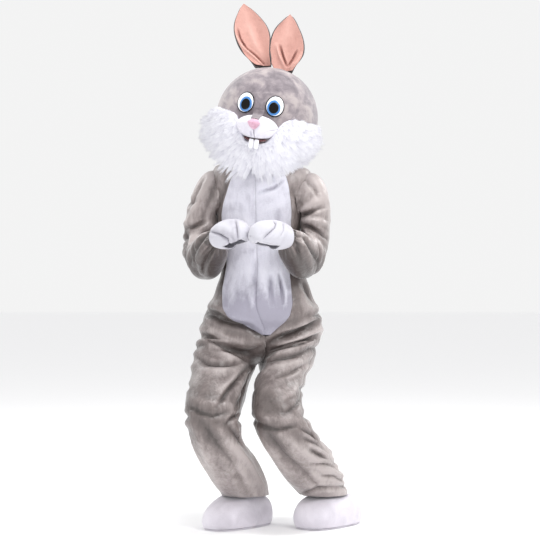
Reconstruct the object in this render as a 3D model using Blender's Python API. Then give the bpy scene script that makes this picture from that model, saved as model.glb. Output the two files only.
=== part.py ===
"""Rabbit mascot costume, worn and hollow: jumpsuit, foam head, mitts and shoe covers.

Tables are in millimetres, heights above the floor, +X to the wearer's left, -Y to the front.
The finished part is in metres, with its origin where the wearer's shoulders carry it.
"""
import bmesh
import bpy
import numpy as np
from math import acos, cos, pi, radians, sin, tan
from mathutils import Matrix, Vector

# ---------------------------------------------------------------- driving dimensions (mm)
FLOOR = 23.0                      # height of the floor in the tables' own scale
HOLD = np.array([0.0, 20.0, 1270.0])  # base of the neck, between the shoulders
CLOTH = 1.8                       # velour wall
PLUSH = 3.0                       # mitt and shoe-cover wall
FOAM = 8.0                        # head wall, plush over foam
SEAM = 0.3                        # gap between neighbouring pieces
METRE = 0.001

HEAD_CENTRE = np.array([17.0, -20.0, 1442.0])
HEAD_RADII = np.array([173.0, 185.0, 182.0])
HEAD_YAW = 9.0                    # turned to the wearer's right
HEAD_ROLL = 9.0                   # leaning to the wearer's left
NECK_POLAR = 138.0                # polar angle of the head's neck opening

SIDES = (("right", -1), ("left", 1))


# ---------------------------------------------------------------- materials
MATERIALS = {  # name: (red, green, blue as seen, roughness)
    "grey_velour": (0.49, 0.46, 0.46, 0.62),
    "grey_plush": (0.70, 0.66, 0.66, 0.85),
    "white_velour": (0.86, 0.86, 0.90, 0.55),
    "white_plush": (0.92, 0.92, 0.95, 0.85),
    "white_fur": (0.90, 0.90, 0.93, 0.90),
    "dark_velour": (0.35, 0.33, 0.33, 0.70),
    "pink_velour": (0.91, 0.72, 0.67, 0.65),
    "pink_plush": (0.95, 0.80, 0.87, 0.70),
    "black_gloss": (0.05, 0.05, 0.05, 0.20),
    "white_gloss": (0.95, 0.95, 0.96, 0.20),
    "blue_gloss": (0.16, 0.47, 0.80, 0.20),
    "mouth_felt": (0.35, 0.12, 0.14, 0.80),
    "white_felt": (0.93, 0.93, 0.95, 0.75),
}


def linear(value):
    """Light value of one screen colour channel."""
    return value / 12.92 if value <= 0.04045 else ((value + 0.055) / 1.055) ** 2.4


def material(name):
    """The named Principled material, made once."""
    if name in bpy.data.materials:
        return bpy.data.materials[name]
    red, green, blue, roughness = MATERIALS[name]
    made = bpy.data.materials.new(name)
    made.use_nodes = True
    shader = made.node_tree.nodes["Principled BSDF"]
    shader.inputs["Base Color"].default_value = (linear(red), linear(green), linear(blue), 1.0)
    shader.inputs["Roughness"].default_value = roughness
    shader.inputs["Metallic"].default_value = 0.0
    return made


# ---------------------------------------------------------------- cloth walls
def unit(vectors):
    """Vectors scaled to length one."""
    length = np.linalg.norm(vectors, axis=-1, keepdims=True)
    return vectors / np.maximum(length, 1e-9)


def normals(surface, u, v, facing, u_low, u_high, step=1e-3):
    """Outward unit normals, from differences that stay inside each row's own stretch."""
    ahead = surface(np.minimum(u + step, u_high), v)
    behind = surface(np.maximum(u - step, u_low), v)
    along_u = ahead - behind
    along_v = surface(u, v + step) - surface(u, v - step)
    return unit(np.cross(along_u, along_v)) * facing


def add_object(name, bm, finish, collection="rabbit_mascot_costume"):
    """Close the bmesh, turn its faces out and make the object."""
    bmesh.ops.remove_doubles(bm, verts=bm.verts, dist=1e-6)
    bmesh.ops.dissolve_degenerate(bm, edges=bm.edges, dist=1e-7)
    bmesh.ops.recalc_face_normals(bm, faces=bm.faces)
    mesh = bpy.data.meshes.new(name)
    bm.to_mesh(mesh)
    bm.free()
    made = bpy.data.objects.new(name, mesh)
    bpy.data.collections[collection].objects.link(made)
    mesh.materials.append(material(finish))
    mesh.shade_smooth()
    mesh.set_sharp_from_angle(angle=radians(50))
    return made


def wall(name, outer, inner, finish, cells=None, round_ring=False):
    """A closed wall between two grids of points; cells marks the squares that are cloth."""
    rows, columns = outer.shape[:2]
    across = columns if round_ring else columns - 1
    if cells is None:
        cells = np.ones((rows - 1, across), bool)
    bm = bmesh.new()
    made = {}

    def vertex(layer, i, j):
        key = (layer, i, j % columns)
        if key not in made:
            grid = outer if layer else inner
            made[key] = bm.verts.new(Vector((grid[i, j % columns] - HOLD) * METRE))
        return made[key]

    def is_cloth(i, j):
        if round_ring:
            j %= across
        return 0 <= i < rows - 1 and 0 <= j < across and cells[i, j]

    def face(corners):
        bm.faces.new([vertex(*corner) for corner in corners])

    for i in range(rows - 1):
        for j in range(across):
            if not cells[i, j]:
                continue
            square = ((i, j), (i, j + 1), (i + 1, j + 1), (i + 1, j))
            # both layers split along one diagonal, so that the wall keeps its thickness
            a, b, c, d = (outer[p, q % columns] for p, q in square)
            first = 0 if np.linalg.norm(c - a) < np.linalg.norm(d - b) else 1
            for half in (0, 2):
                corners = [square[(first + half + step) % 4] for step in range(3)]
                face([(1, *corner) for corner in corners])
                face([(0, *corner) for corner in reversed(corners)])
            beyond = ((i - 1, j), (i, j + 1), (i + 1, j), (i, j - 1))
            for step in range(4):
                if not is_cloth(*beyond[step]):
                    # both pieces at a seam split their edges the same way, so they stay apart
                    first, last = sorted((square[step], square[(step + 1) % 4]))
                    face([(1, *first), (0, *first), (0, *last)])
                    face([(1, *first), (0, *last), (1, *last)])
    return add_object(name, bm, finish)


def panel(name, surface, u, v, facing, finish, thick=CLOTH, lift=0.0, cells=None,
          u_low=None, u_high=None, round_ring=False, partner=None):
    """A cloth wall on a surface, its outer face lifted from it and its inner face set in.

    A partner is the mirror half, and the two share their directions along the centre seams.
    """
    low = u.min(axis=1, keepdims=True) if u_low is None else u_low
    high = u.max(axis=1, keepdims=True) if u_high is None else u_high
    if round_ring:
        low, high = -1.0, 2.0
    points = surface(u, v)
    out = normals(surface, u, v, facing, low, high)
    if partner:
        shared = normals(partner, u, v, -facing, low, high)
        centred = np.minimum(np.abs(u - CENTRE_U), np.abs(1 - CENTRE_U - u)) < 0.004
        centred = (centred & (v < CROTCH_ROW + 0.01))[..., None]
        out = np.where(centred, unit(out + shared), out)
    return wall(name, points + out * lift, points + out * (lift - thick), finish,
                cells, round_ring)


def set_in(surface, u, v, first, last):
    """Move a grid's first and last columns in by a length, to leave the seam gap."""
    moved = u.copy()
    step = 1e-3
    for column, gap in ((0, first), (-1, last)):
        sign = 1 if column == 0 else -1
        here = surface(u[:, column], v[:, column])
        there = surface(u[:, column] + sign * step, v[:, column])
        speed = np.linalg.norm(there - here, axis=-1) / step
        moved[:, column] += sign * gap / speed
    return moved


def loft(rings):
    """The smooth surface through rings: u runs round them and v counts them."""
    last = len(rings) - 1

    def surface(u, v):
        u, v = np.broadcast_arrays(np.asarray(u, float), np.asarray(v, float))
        stack = np.array([ring(u) for ring in rings])
        k = np.clip(np.floor(v).astype(int), 0, last - 1)
        t = (v - k)[..., None]

        def pick(index):
            clipped = np.clip(index, 0, last)[None, ..., None]
            return np.take_along_axis(stack, clipped, axis=0)[0]

        b, c = pick(k), pick(k + 1)
        a = np.where((k == 0)[..., None], 2 * b - c, pick(k - 1))
        d = np.where((k == last - 1)[..., None], 2 * c - b, pick(k + 2))
        ab, bc, cd = (np.maximum(np.linalg.norm(q - p, axis=-1, keepdims=True), 1e-6)
                      for p, q in ((a, b), (b, c), (c, d)))
        start = ((b - a) / ab * bc + (c - b) / bc * ab) / (ab + bc) * bc
        end = ((c - b) / bc * cd + (d - c) / cd * bc) / (bc + cd) * bc
        return ((2 * t**3 - 3 * t**2 + 1) * b + (t**3 - 2 * t**2 + t) * start
                + (3 * t**2 - 2 * t**3) * c + (t**3 - t**2) * end)
    return surface


def turned(x, y, degrees):
    """Front and left directions of a body turned to the wearer's right."""
    a = radians(degrees)
    front = np.array([-sin(a), -cos(a), 0.0])
    left = np.array([cos(a), -sin(a), 0.0])
    return np.array([x, y, 0.0]), front, left


# ---------------------------------------------------------------- jumpsuit: trunk and legs
CENTRE_U = 1 / 8                  # where the centre front sits on a ring; the back is at 7/8
TRUNK_COLUMNS = ("z_front", "z_side_right", "z_side_left", "z_back", "x", "y",
                 "half_right", "half_left", "front", "back", "turn")
TRUNK = (
    (1283, 1303, 1297, 1302, 2, 15, 80, 80, 78, 72, 9),
    (1262, 1293, 1280, 1288, 2, 15, 136, 132, 98, 92, 11),
    (1236, 1281, 1265, 1268, 2, 14, 169, 166, 112, 106, 12),
    (1204, 1254, 1241, 1236, 2, 13, 181, 177, 118, 112, 12),
    (1166, 1200, 1190, 1190, 2, 12, 172, 166, 120, 114, 12),
    (1120, 1140, 1132, 1134, 2, 11, 158, 142, 119, 112, 12),
    (1070, 1078, 1074, 1076, 2, 10, 151, 126, 114, 110, 12),
    (1010, 1012, 1010, 1012, 3, 10, 147, 124, 106, 110, 12),
    (950, 950, 950, 950, 4, 11, 146, 126, 104, 112, 12),
    (900, 902, 902, 902, 4, 14, 150, 145, 112, 118, 11),
    (858, 862, 862, 862, 4, 18, 164, 162, 126, 126, 11),
    (820, 822, 822, 824, 5, 22, 178, 174, 142, 136, 10),
    (782, 784, 784, 788, 4, 26, 200, 194, 153, 144, 8),
    (747, 750, 750, 752, 3, 29, 208, 207, 153, 148, 3),
    (714, 716, 716, 716, -2, 31, 211, 211, 140, 150, -4),
    (676, 684, 684, 676, -6, 32, 209, 216, 134, 150, -8),
)
CROTCH_SAG = 82.0                 # drop of the crotch seam below its ends
LEG_COLUMNS = ("x", "y", "z", "pitch", "roll", "heading", "inner", "outer", "front", "back")
LEGS = {
    "right": (
        (-128, 20, 618, 22, 20, 8, 110, 106, 128, 132),
        (-141, -50, 560, 40, 8, 12, 94, 101, 104, 104),
        (-151, -112, 512, 48, 0, 20, 96, 101, 97, 96),
        (-161, -166, 468, 36, 0, 25, 96, 100, 96, 92),
        (-164, -204, 425, 12, 0, 27, 93, 97, 92, 80),
        (-157, -212, 383, -8, 0, 27, 93, 95, 86, 72),
        (-149, -196, 344, -24, 0, 27, 86, 91, 80, 70),
        (-134, -164, 302, -36, 0, 26, 84, 86, 78, 70),
        (-113, -118, 258, -38, 0, 24, 86, 86, 78, 74),
        (-91, -72, 212, -32, 0, 22, 88, 87, 80, 78),
        (-70, -34, 168, -16, 0, 20, 87, 86, 82, 80),
        (-58, -12, 134, 0, 0, 20, 84, 84, 84, 84),
    ),
    "left": (
        (90, 20, 606, 24, -20, 3, 112, 110, 118, 128),
        (72, -46, 562, 38, -6, 12, 82, 85, 98, 102),
        (60, -98, 518, 45, 0, 20, 82, 82, 93, 94),
        (54, -150, 476, 36, 0, 25, 86, 86, 93, 90),
        (57, -192, 432, 14, 0, 27, 92, 94, 90, 80),
        (69, -204, 392, -8, 0, 27, 96, 98, 86, 72),
        (92, -186, 350, -26, 0, 24, 98, 100, 84, 70),
        (120, -142, 306, -36, 0, 20, 99, 100, 84, 74),
        (146, -100, 262, -36, 0, 18, 99, 100, 86, 80),
        (170, -60, 218, -28, 0, 18, 97, 98, 86, 84),
        (194, -22, 174, -14, 0, 18, 92, 94, 86, 86),
        (214, 2, 134, 0, 0, 18, 86, 86, 86, 86),
    ),
}


CROTCH_ROW = len(TRUNK) - 1
HEM_ROW = len(TRUNK) + len(LEGS["right"]) - 1
BODY_ROWS = np.concatenate((
    np.arange(0, 12), np.arange(12, CROTCH_ROW + 2, 0.5),
    np.linspace(CROTCH_ROW + 2, HEM_ROW, 14)))


def trunk_ring(row, side):
    """Half a body section: front to side to back, then straight up the middle."""
    r = dict(zip(TRUNK_COLUMNS, row))
    centre, front, left = turned(r["x"], r["y"], r["turn"])
    half = r["half_left"] if side > 0 else r["half_right"]
    z_side = r["z_side_left"] if side > 0 else r["z_side_right"]
    sag = CROTCH_SAG if row == TRUNK[-1] else 0.0

    def ring(u):
        u = np.mod(u, 1.0)
        turn = np.clip((u - CENTRE_U) / (1 - 2 * CENTRE_U), 0.0, 1.0) * pi
        middle = np.where(u < 0.5, u, 1 - u) / CENTRE_U
        fold = np.clip(1 - middle, 0.0, 1.0) * pi / 2
        facing = np.cos(turn) * np.cos(fold)
        reach = np.where(facing > 0, r["front"], r["back"]) * facing
        lateral = side * (half * np.sin(turn) + SEAM * np.sin(fold))
        end = np.where(facing > 0, r["z_front"], r["z_back"])
        z = z_side + (end - z_side) * np.cos(turn) ** 2 - sag * np.sin(fold)
        flat = centre + reach[..., None] * front + lateral[..., None] * left
        return flat + z[..., None] * np.array([0.0, 0.0, 1.0])
    return ring


def leg_ring(row, side):
    """One section of a leg: inseam, front, outer side, back."""
    r = dict(zip(LEG_COLUMNS, row))
    centre, level_front, left = turned(r["x"], r["y"], r["heading"])
    centre[2] = r["z"]
    pitch, roll = radians(r["pitch"]), radians(r["roll"])
    up = np.array([0.0, 0.0, 1.0])
    front = level_front * cos(pitch) + up * sin(pitch)
    across = side * left * cos(roll) + up * abs(sin(roll))

    def ring(u):
        angle = 2 * pi * np.asarray(u)
        lateral = -np.cos(angle)
        forward = np.sin(angle)
        lateral = lateral * np.where(lateral > 0, r["outer"], r["inner"])
        forward = forward * np.where(forward > 0, r["front"], r["back"])
        return centre + lateral[..., None] * across + forward[..., None] * front
    return ring


def body_surface(name, side):
    """Trunk half and leg as one smooth surface; v counts the rows of both tables."""
    rings = [trunk_ring(row, side) for row in TRUNK]
    rings += [leg_ring(row, side) for row in LEGS[name]]
    smooth = loft(rings)
    crotch = dict(zip(TRUNK_COLUMNS, TRUNK[-1]))
    centre, front, left = turned(crotch["x"], crotch["y"], crotch["turn"])

    def own_side(u, v):
        """Just below the crotch the cloth keeps to its own side of the middle."""
        points = smooth(u, v)
        below = np.asarray(v) - CROTCH_ROW
        near = np.clip(3.0 - below, 0.0, 1.0) * (below > 0)
        beside = ((points - centre) @ left) * side
        short = np.maximum(SEAM + 3.0 * np.clip(below, 0.0, 1.0) - beside, 0.0) * near
        return points + side * short[..., None] * left
    return own_side


FOLD_COLUMNS = ("u_start", "v_start", "u_end", "v_end", "width", "height")
FOLDS = {  # ridges (+) and troughs (-) of the worn cloth, in ring turns and rows
    "right": (
        (0.14, 14.6, 0.48, 14.3, 15, -9),
        (0.10, 16.0, 0.45, 14.9, 16, 8),
        (0.08, 16.6, 0.40, 15.6, 15, -7),
        (0.02, 17.6, 0.30, 16.6, 18, 6),
        (0.60, 19.4, 0.98, 19.6, 18, -7),
        (0.55, 20.6, 0.95, 20.4, 15, 7),
        (0.58, 21.6, 1.00, 21.4, 16, -7),
        (0.52, 22.4, 0.80, 22.8, 15, 6),
        (0.10, 21.6, 0.30, 24.6, 20, 6),
        (0.30, 22.0, 0.44, 26.0, 20, -6),
        (0.02, 22.5, 0.16, 26.0, 18, -5),
    ),
    "left": (
        (0.14, 14.6, 0.46, 14.2, 15, -7),
        (0.02, 17.8, 0.32, 16.8, 18, 4),
        (0.58, 19.4, 0.98, 19.6, 20, -5),
        (0.50, 20.9, 0.92, 20.7, 20, 4),
        (0.46, 22.4, 0.78, 22.8, 15, 6),
        (0.08, 21.4, 0.24, 25.0, 20, 6),
        (0.26, 21.8, 0.42, 26.0, 20, -6),
        (0.42, 23.0, 0.50, 26.0, 18, 5),
    ),
}
RING_LENGTH = 640.0               # typical way round a ring, for a fold's width
ROW_LENGTH = 46.0                 # typical step between rows


def folded(surface, folds, side):
    """The surface with its folds pushed out or in along the normal."""
    def bent(u, v):
        u, v = np.broadcast_arrays(np.asarray(u, float), np.asarray(v, float))
        push = np.zeros(u.shape)
        for fold in folds:
            f = dict(zip(FOLD_COLUMNS, fold))
            run = np.array([(f["u_end"] - f["u_start"]) * RING_LENGTH,
                            (f["v_end"] - f["v_start"]) * ROW_LENGTH])
            x = (u - f["u_start"]) * RING_LENGTH
            y = (v - f["v_start"]) * ROW_LENGTH
            along = np.clip((x * run[0] + y * run[1]) / (run @ run), 0.0, 1.0)
            away = (x - along * run[0]) ** 2 + (y - along * run[1]) ** 2
            taper = np.sin(pi * (0.12 + 0.76 * along))
            push = push + f["height"] * taper * np.exp(-away / f["width"] ** 2)
        low = np.where(v < CROTCH_ROW - 0.01, CENTRE_U, -1.0)
        high = np.where(v < CROTCH_ROW - 0.01, 1 - CENTRE_U, 2.0)
        out = normals(surface, u, v, -side, low, high)
        return surface(u, v) + out * push[..., None]
    return bent


SEAM_EASE = 0.03                  # how far from the centre seams the halves are eased together


def joined(own, other):
    """Ease one half to the other along the centre front and centre back."""
    def surface(u, v):
        u, v = np.broadcast_arrays(np.asarray(u, float), np.asarray(v, float))
        points = own(u, v)
        for seam in (CENTRE_U, 1 - CENTRE_U):
            at_seam = np.full(u.shape, seam)
            apart = other(at_seam, v) - own(at_seam, v)
            near = np.exp(-((u - seam) / SEAM_EASE) ** 2) * (v <= CROTCH_ROW)
            points = points + 0.5 * near[..., None] * apart
        return points
    return surface


HALVES = {name: folded(body_surface(name, side), FOLDS[name], side) for name, side in SIDES}
BODY = {"right": joined(HALVES["right"], HALVES["left"]),
        "left": joined(HALVES["left"], HALVES["right"])}

BIB = (  # height, right edge, left edge
    (1290, -72, 58), (1262, -90, 72), (1234, -108, 86), (1202, -119, 94), (1150, -136, 101),
    (1110, -143, 104), (1000, -133, 99), (944, -124, 96), (900, -131, 98), (848, -140, 103),
    (804, -139, 107), (781, -134, 103), (759, -122, 97), (740, -100, 84), (725, -70, 66),
    (708, -30, 48), (690, 8, 24),
)
BIB_TIP_ROW = 14.5
FRONT_COLUMNS = 8                 # lines of points from the centre front to the side seam


def bib_edge(name, side):
    """Ring turn of the bib's edge on each body row, from the bib's half width there."""
    table = np.array(BIB, float)[::-1]
    edge_x = table[:, 1] if side < 0 else table[:, 2]
    rows = BODY_ROWS[BODY_ROWS <= BIB_TIP_ROW]
    turns = np.linspace(CENTRE_U, 0.46, 200)
    u, v = np.meshgrid(turns, rows)
    points = BODY[name](u, v)
    wanted = np.interp(points[..., 2], table[:, 0], edge_x)
    short = (points[..., 0] - wanted) * side < 0
    return np.array([turns[np.nonzero(row)[0][-1]] if row.any() else turns[1] for row in short])


def front_columns(first, count):
    """Even columns from a first turn, given for each row, to the side seam."""
    share = np.linspace(0, 1, count)[None, :]
    return first[:, None] + (0.5 - first[:, None]) * share


def make_body(name, side):
    """Front and back panels of one half, and its half of the bib."""
    surface = BODY[name]
    partner = BODY["left" if name == "right" else "right"]
    edge = bib_edge(name, side)
    bib_rows = BODY_ROWS[BODY_ROWS <= BIB_TIP_ROW]
    start = np.full(len(BODY_ROWS), CENTRE_U)
    start[:len(edge)] = edge
    inner = np.linspace(0, CENTRE_U, 4)[:-1]
    outer = front_columns(start, FRONT_COLUMNS)
    u = np.hstack((np.repeat(inner[None, :], len(BODY_ROWS), axis=0), outer))
    v = np.repeat(BODY_ROWS[:, None], u.shape[1], axis=1)
    above = BODY_ROWS < CROTCH_ROW - 0.01
    # above the crotch each half ends at the centre seams, and below it the leg is a whole ring
    low = np.where(above, CENTRE_U, -1.0)[:, None]
    high = np.where(above, 1 - CENTRE_U, 2.0)[:, None]
    cells = np.ones((len(BODY_ROWS) - 1, u.shape[1] - 1), bool)
    cells[above[:-1], :len(inner)] = False
    u = np.where(above[:, None], np.maximum(u, start[:, None]), u)
    u = seam_gaps(surface, u, v, above, len(inner))
    panel(f"front_{name}", surface, u, v, -side, "grey_velour", cells=cells,
          u_low=low, u_high=high, partner=partner)
    mirrored = np.hstack((np.repeat(inner[None, :], len(BODY_ROWS), axis=0),
                          front_columns(np.full(len(BODY_ROWS), CENTRE_U), FRONT_COLUMNS)))
    mirrored = seam_gaps(surface, mirrored, v, above, len(inner), mirror=True)
    panel(f"back_{name}", surface, (1 - mirrored)[:, ::-1], v, -side, "grey_velour",
          cells=cells[:, ::-1], u_low=low, u_high=high, partner=partner)
    share = np.linspace(0, 1, 6)[None, :]
    bib_u = CENTRE_U + (edge[:, None] - CENTRE_U) * share
    bib_v = np.repeat(bib_rows[:, None], bib_u.shape[1], axis=1)
    bib_u = set_in(surface, bib_u, bib_v, SEAM / 2, SEAM)
    panel(f"bib_{name}", surface, bib_u, bib_v, -side, "white_velour",
          u_low=CENTRE_U, u_high=0.5, partner=partner)


def seam_gaps(surface, u, v, above, inner_count, mirror=False):
    """Take half a seam gap off each edge: side seam, centre or bib edge, and inseam."""
    ring = (lambda a, b: surface(1 - a, b)) if mirror else surface
    step = 1e-3
    moved = u.copy()
    for i in range(len(u)):
        first = inner_count if above[i] else 0
        for column, sign in ((first, 1), (-1, -1)):
            here = ring(u[i, column], v[i, column])
            there = ring(u[i, column] + sign * step, v[i, column])
            moved[i, column] += sign * SEAM / 2 * step / np.linalg.norm(there - here)
        if above[i]:
            moved[i, :first] = moved[i, first]
    return moved


# ---------------------------------------------------------------- sleeves
RING_STEPS = 24                   # facets round an armhole, and round its sleeve
ARMHOLES = {  # z is its middle's height, high and deep its half sizes, out how far out it lies
    "right": {"z": 1182.0, "high": 72.0, "deep": 62.0, "out": 168.0},
    "left": {"z": 1172.0, "high": 72.0, "deep": 62.0, "out": 162.0},
}
ARMHOLE_FORWARD = 2.0             # how far in front of the trunk's middle
ARMHOLE_CUT = 170.0               # length of the cutter that opens it
SLEEVE_SEAT = 4.0                 # how far the sleeve starts inside the body, and turns out of it
SHOULDER_X, SHOULDER_Y, SHOULDER_TURN = 2.0, 12.0, 12.0
SLEEVE_PATHS = {  # corners after the armhole, with the radius of each bend
    "right": (((-207, 55, 1124), 58), ((-224, 46, 934), 82), ((-157, -178, 1020), 0)),
    "left": (((187, -26, 1138), 36), ((184, -34, 932), 82), ((88, -226, 1022), 0)),
}
SLEEVES = {  # share of the path from armhole to cuff, and the section's side, front, back reach
    "right": (
        (0.00, 72, 64, 64), (0.10, 68, 70, 70), (0.22, 63, 74, 72), (0.36, 62, 74, 76),
        (0.52, 62, 72, 82), (0.64, 62, 68, 84), (0.76, 62, 62, 76), (0.88, 60, 56, 64),
        (0.95, 50, 46, 50), (1.00, 37, 36, 37),
    ),
    "left": (
        (0.00, 72, 64, 64), (0.10, 54, 70, 68), (0.22, 51, 74, 70), (0.36, 49, 74, 74),
        (0.52, 49, 72, 82), (0.64, 50, 68, 84), (0.76, 54, 62, 76), (0.88, 55, 56, 64),
        (0.95, 48, 46, 50), (1.00, 37, 36, 37),
    ),
}
GATHERS = 6                       # puckers round the cuff
SLEEVE_BENDS = 14                 # rings along a sleeve


def armhole_frame(name, side):
    """Middle of the armhole's axis, its front and its outward direction."""
    centre, front, left = turned(SHOULDER_X, SHOULDER_Y, SHOULDER_TURN)
    hole = ARMHOLES[name]
    centre = centre + front * ARMHOLE_FORWARD
    centre[2] = hole["z"]
    return centre, front, left * side


def trunk_reach(name, side, points):
    """How far out from the armhole axis's middle the body lies beside the given points."""
    centre, front, outward = armhole_frame(name, side)
    u, v = np.meshgrid(np.linspace(0.2, 0.8, 160), np.linspace(0.5, 7.5, 160))
    body = (BODY[name](u, v) - centre).reshape(-1, 3)
    seen = np.stack((body @ front, body[:, 2]), axis=1)
    reach = []
    for point in points - centre:
        nearest = np.argmin(((seen - (point @ front, point[2])) ** 2).sum(axis=1))
        reach.append(body[nearest] @ outward)
    return np.array(reach)


def rounded_path(corners, bends, count):
    """Points and directions along straight runs joined by arcs, evenly spaced."""
    pieces = [np.array([corners[0]], float)]
    for before, corner, after, bend in zip(corners, corners[1:], corners[2:], bends):
        into = unit(corner - before)
        away = unit(after - corner)
        half = acos(np.clip(into @ away, -1, 1)) / 2
        reach = bend * tan(half)
        middle = corner + unit(away - into) * bend / cos(half)
        start = corner - into * reach - middle
        across = into * bend
        angles = np.linspace(0, 2 * half, 24)[:, None]
        pieces.append(middle + start * np.cos(angles) + across * np.sin(angles))
    pieces.append(np.array([corners[-1]], float))
    points = np.vstack(pieces)
    steps = np.linalg.norm(np.diff(points, axis=0), axis=1)
    length = np.concatenate(([0.0], np.cumsum(steps)))
    wanted = np.linspace(0, length[-1], count)
    path = np.stack([np.interp(wanted, length, points[:, axis]) for axis in range(3)], axis=1)
    return path, unit(np.gradient(path, axis=0))


def carried_frames(directions, first):
    """Side directions carried along a path without twist."""
    sides = [unit(first - directions[0] * (first @ directions[0]))]
    for before, here in zip(directions, directions[1:]):
        turn = Vector(before).rotation_difference(Vector(here))
        moved = np.array(turn @ Vector(sides[-1]))
        sides.append(unit(moved - here * (moved @ here)))
    return np.array(sides)


def oval_ring(centre, across, front, side_reach, front_reach, back_reach, waves=0.0):
    """A section given by its reach to the side, front and back."""
    def ring(u):
        angle = 2 * pi * np.asarray(u)
        pucker = 1 + waves * np.cos(GATHERS * angle)
        forward = np.sin(angle)
        forward = forward * np.where(forward > 0, front_reach, back_reach) * pucker
        lateral = np.cos(angle) * side_reach * pucker
        return centre + lateral[..., None] * across + forward[..., None] * front
    return ring


def armhole_ring(name, side, clear, extra):
    """The sleeve's start: an oval just inside the armhole's edge, on the body's surface."""
    centre, front, outward = armhole_frame(name, side)
    hole = ARMHOLES[name]
    high, deep = hole["high"] - clear, hole["deep"] - clear
    turns = np.arange(RING_STEPS + 1) / RING_STEPS
    angle = 2 * pi * turns
    rim = (centre + high * np.cos(angle)[:, None] * np.array([0.0, 0.0, 1.0])
           + deep * np.sin(angle)[:, None] * front)
    reach = trunk_reach(name, side, rim) + extra

    def ring(u):
        u = np.mod(np.asarray(u, float), 1.0)
        a = 2 * pi * u
        out = np.interp(u, turns, reach)
        return (centre + high * np.cos(a)[..., None] * np.array([0.0, 0.0, 1.0])
                + deep * np.sin(a)[..., None] * front + out[..., None] * outward)
    return ring


def armpit_ring(before, ring, after):
    """A section whose underside lies midway between its neighbours', where cloth bunches."""
    def eased(u):
        under = np.clip(-np.cos(2 * pi * np.asarray(u, float)), 0.0, 1.0)[..., None]
        return ring(u) * (1 - under) + (before(u) + after(u)) / 2 * under
    return eased


def sleeve_surface(name, side):
    """The sleeve from its armhole to its gathered cuff."""
    centre, front, outward = armhole_frame(name, side)
    start = centre + outward * ARMHOLES[name]["out"]
    corners = [start] + [np.array(point, float) for point, _ in SLEEVE_PATHS[name]]
    bends = [bend for _, bend in SLEEVE_PATHS[name]][:-1]
    path, directions = rounded_path(corners, bends, SLEEVE_BENDS)
    directions[0] = outward
    across = carried_frames(directions, np.array([0.0, 0.0, 1.0]))
    fronts = carried_frames(directions, front)
    table = np.array(SLEEVES[name], float)
    rings = [armhole_ring(name, side, SEAM, -SLEEVE_SEAT),
             armhole_ring(name, side, SEAM, SLEEVE_SEAT)]
    for i in range(2, SLEEVE_BENDS):
        share = i / (SLEEVE_BENDS - 1)
        reach = [np.interp(share, table[:, 0], table[:, k]) for k in (1, 2, 3)]
        waves = 0.09 * max(0.0, (share - 0.86) / 0.14)
        rings.append(oval_ring(path[i], across[i], fronts[i], *reach, waves=waves))
    rings[2] = armpit_ring(*rings[1:4])
    return loft(rings)


def make_sleeve(name, side):
    """One bent sleeve, open at the armhole and the cuff."""
    surface = sleeve_surface(name, side)
    turns = np.arange(RING_STEPS) / RING_STEPS
    rows = np.arange(SLEEVE_BENDS)
    u, v = np.meshgrid(turns, rows)
    panel(f"sleeve_{name}", surface, u, v, side, "grey_velour", round_ring=True)


def cut_armholes(name, side):
    """Cut the sleeve's opening through the front and back panels."""
    centre, front, outward = armhole_frame(name, side)
    hole = ARMHOLES[name]
    bm = bmesh.new()
    bmesh.ops.create_cone(bm, cap_ends=True, segments=RING_STEPS, radius1=1, radius2=1, depth=1)
    axes = Matrix((
        (0.0, front[0] * hole["deep"], outward[0] * ARMHOLE_CUT, 0.0),
        (0.0, front[1] * hole["deep"], outward[1] * ARMHOLE_CUT, 0.0),
        (hole["high"], 0.0, 0.0, 0.0),
        (0.0, 0.0, 0.0, 1.0)))
    middle = Vector((centre + outward * hole["out"] - HOLD) * METRE)
    bm.transform(Matrix.Translation(middle) @ Matrix.Scale(METRE, 4) @ axes)
    if bm.calc_volume(signed=True) < 0:
        bmesh.ops.reverse_faces(bm, faces=bm.faces)
    mesh = bpy.data.meshes.new(f"armhole_{name}")
    bm.to_mesh(mesh)
    bm.free()
    cutter = bpy.data.objects.new(f"armhole_{name}", mesh)
    cutter.hide_render = True
    cutter.display_type = "WIRE"
    bpy.data.collections["cutters"].objects.link(cutter)
    for part in ("front", "back"):
        cut = bpy.data.objects[f"{part}_{name}"].modifiers.new("armhole", "BOOLEAN")
        cut.operation = "DIFFERENCE"
        cut.object = cutter


# ---------------------------------------------------------------- neckband and back placket
BAND_HEIGHT = 26.0


def make_neckband():
    """A low band that stands on the neckline."""
    low = {name: trunk_ring(TRUNK[0], side) for name, side in SIDES}

    def neckline(u, rise, narrow):
        u = np.mod(u, 1.0)
        half = CENTRE_U + (1 - 2 * CENTRE_U) * np.where(u < 0.5, u, 1 - u) * 2
        left, right = low["left"](half), low["right"](half)
        points = np.where((u < 0.5)[..., None], left, right)
        middle = np.array([TRUNK[0][4], TRUNK[0][5], 0.0])
        flat = middle + (points - middle) * np.array([narrow, narrow, 1.0])
        return flat + np.array([0.0, 0.0, rise])

    surface = loft([lambda u: neckline(u, SEAM + 0.2, 1.0),
                    lambda u: neckline(u, BAND_HEIGHT * 0.5, 0.96),
                    lambda u: neckline(u, BAND_HEIGHT, 0.93)])
    u, v = np.meshgrid(np.arange(20) / 20, np.arange(0, 2.1, 1.0))
    panel("neckband", surface, u, v, 1, "grey_velour", round_ring=True)


PLACKET_WIDTH = 38.0
PLACKET_END_ROW = 11.0


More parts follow.
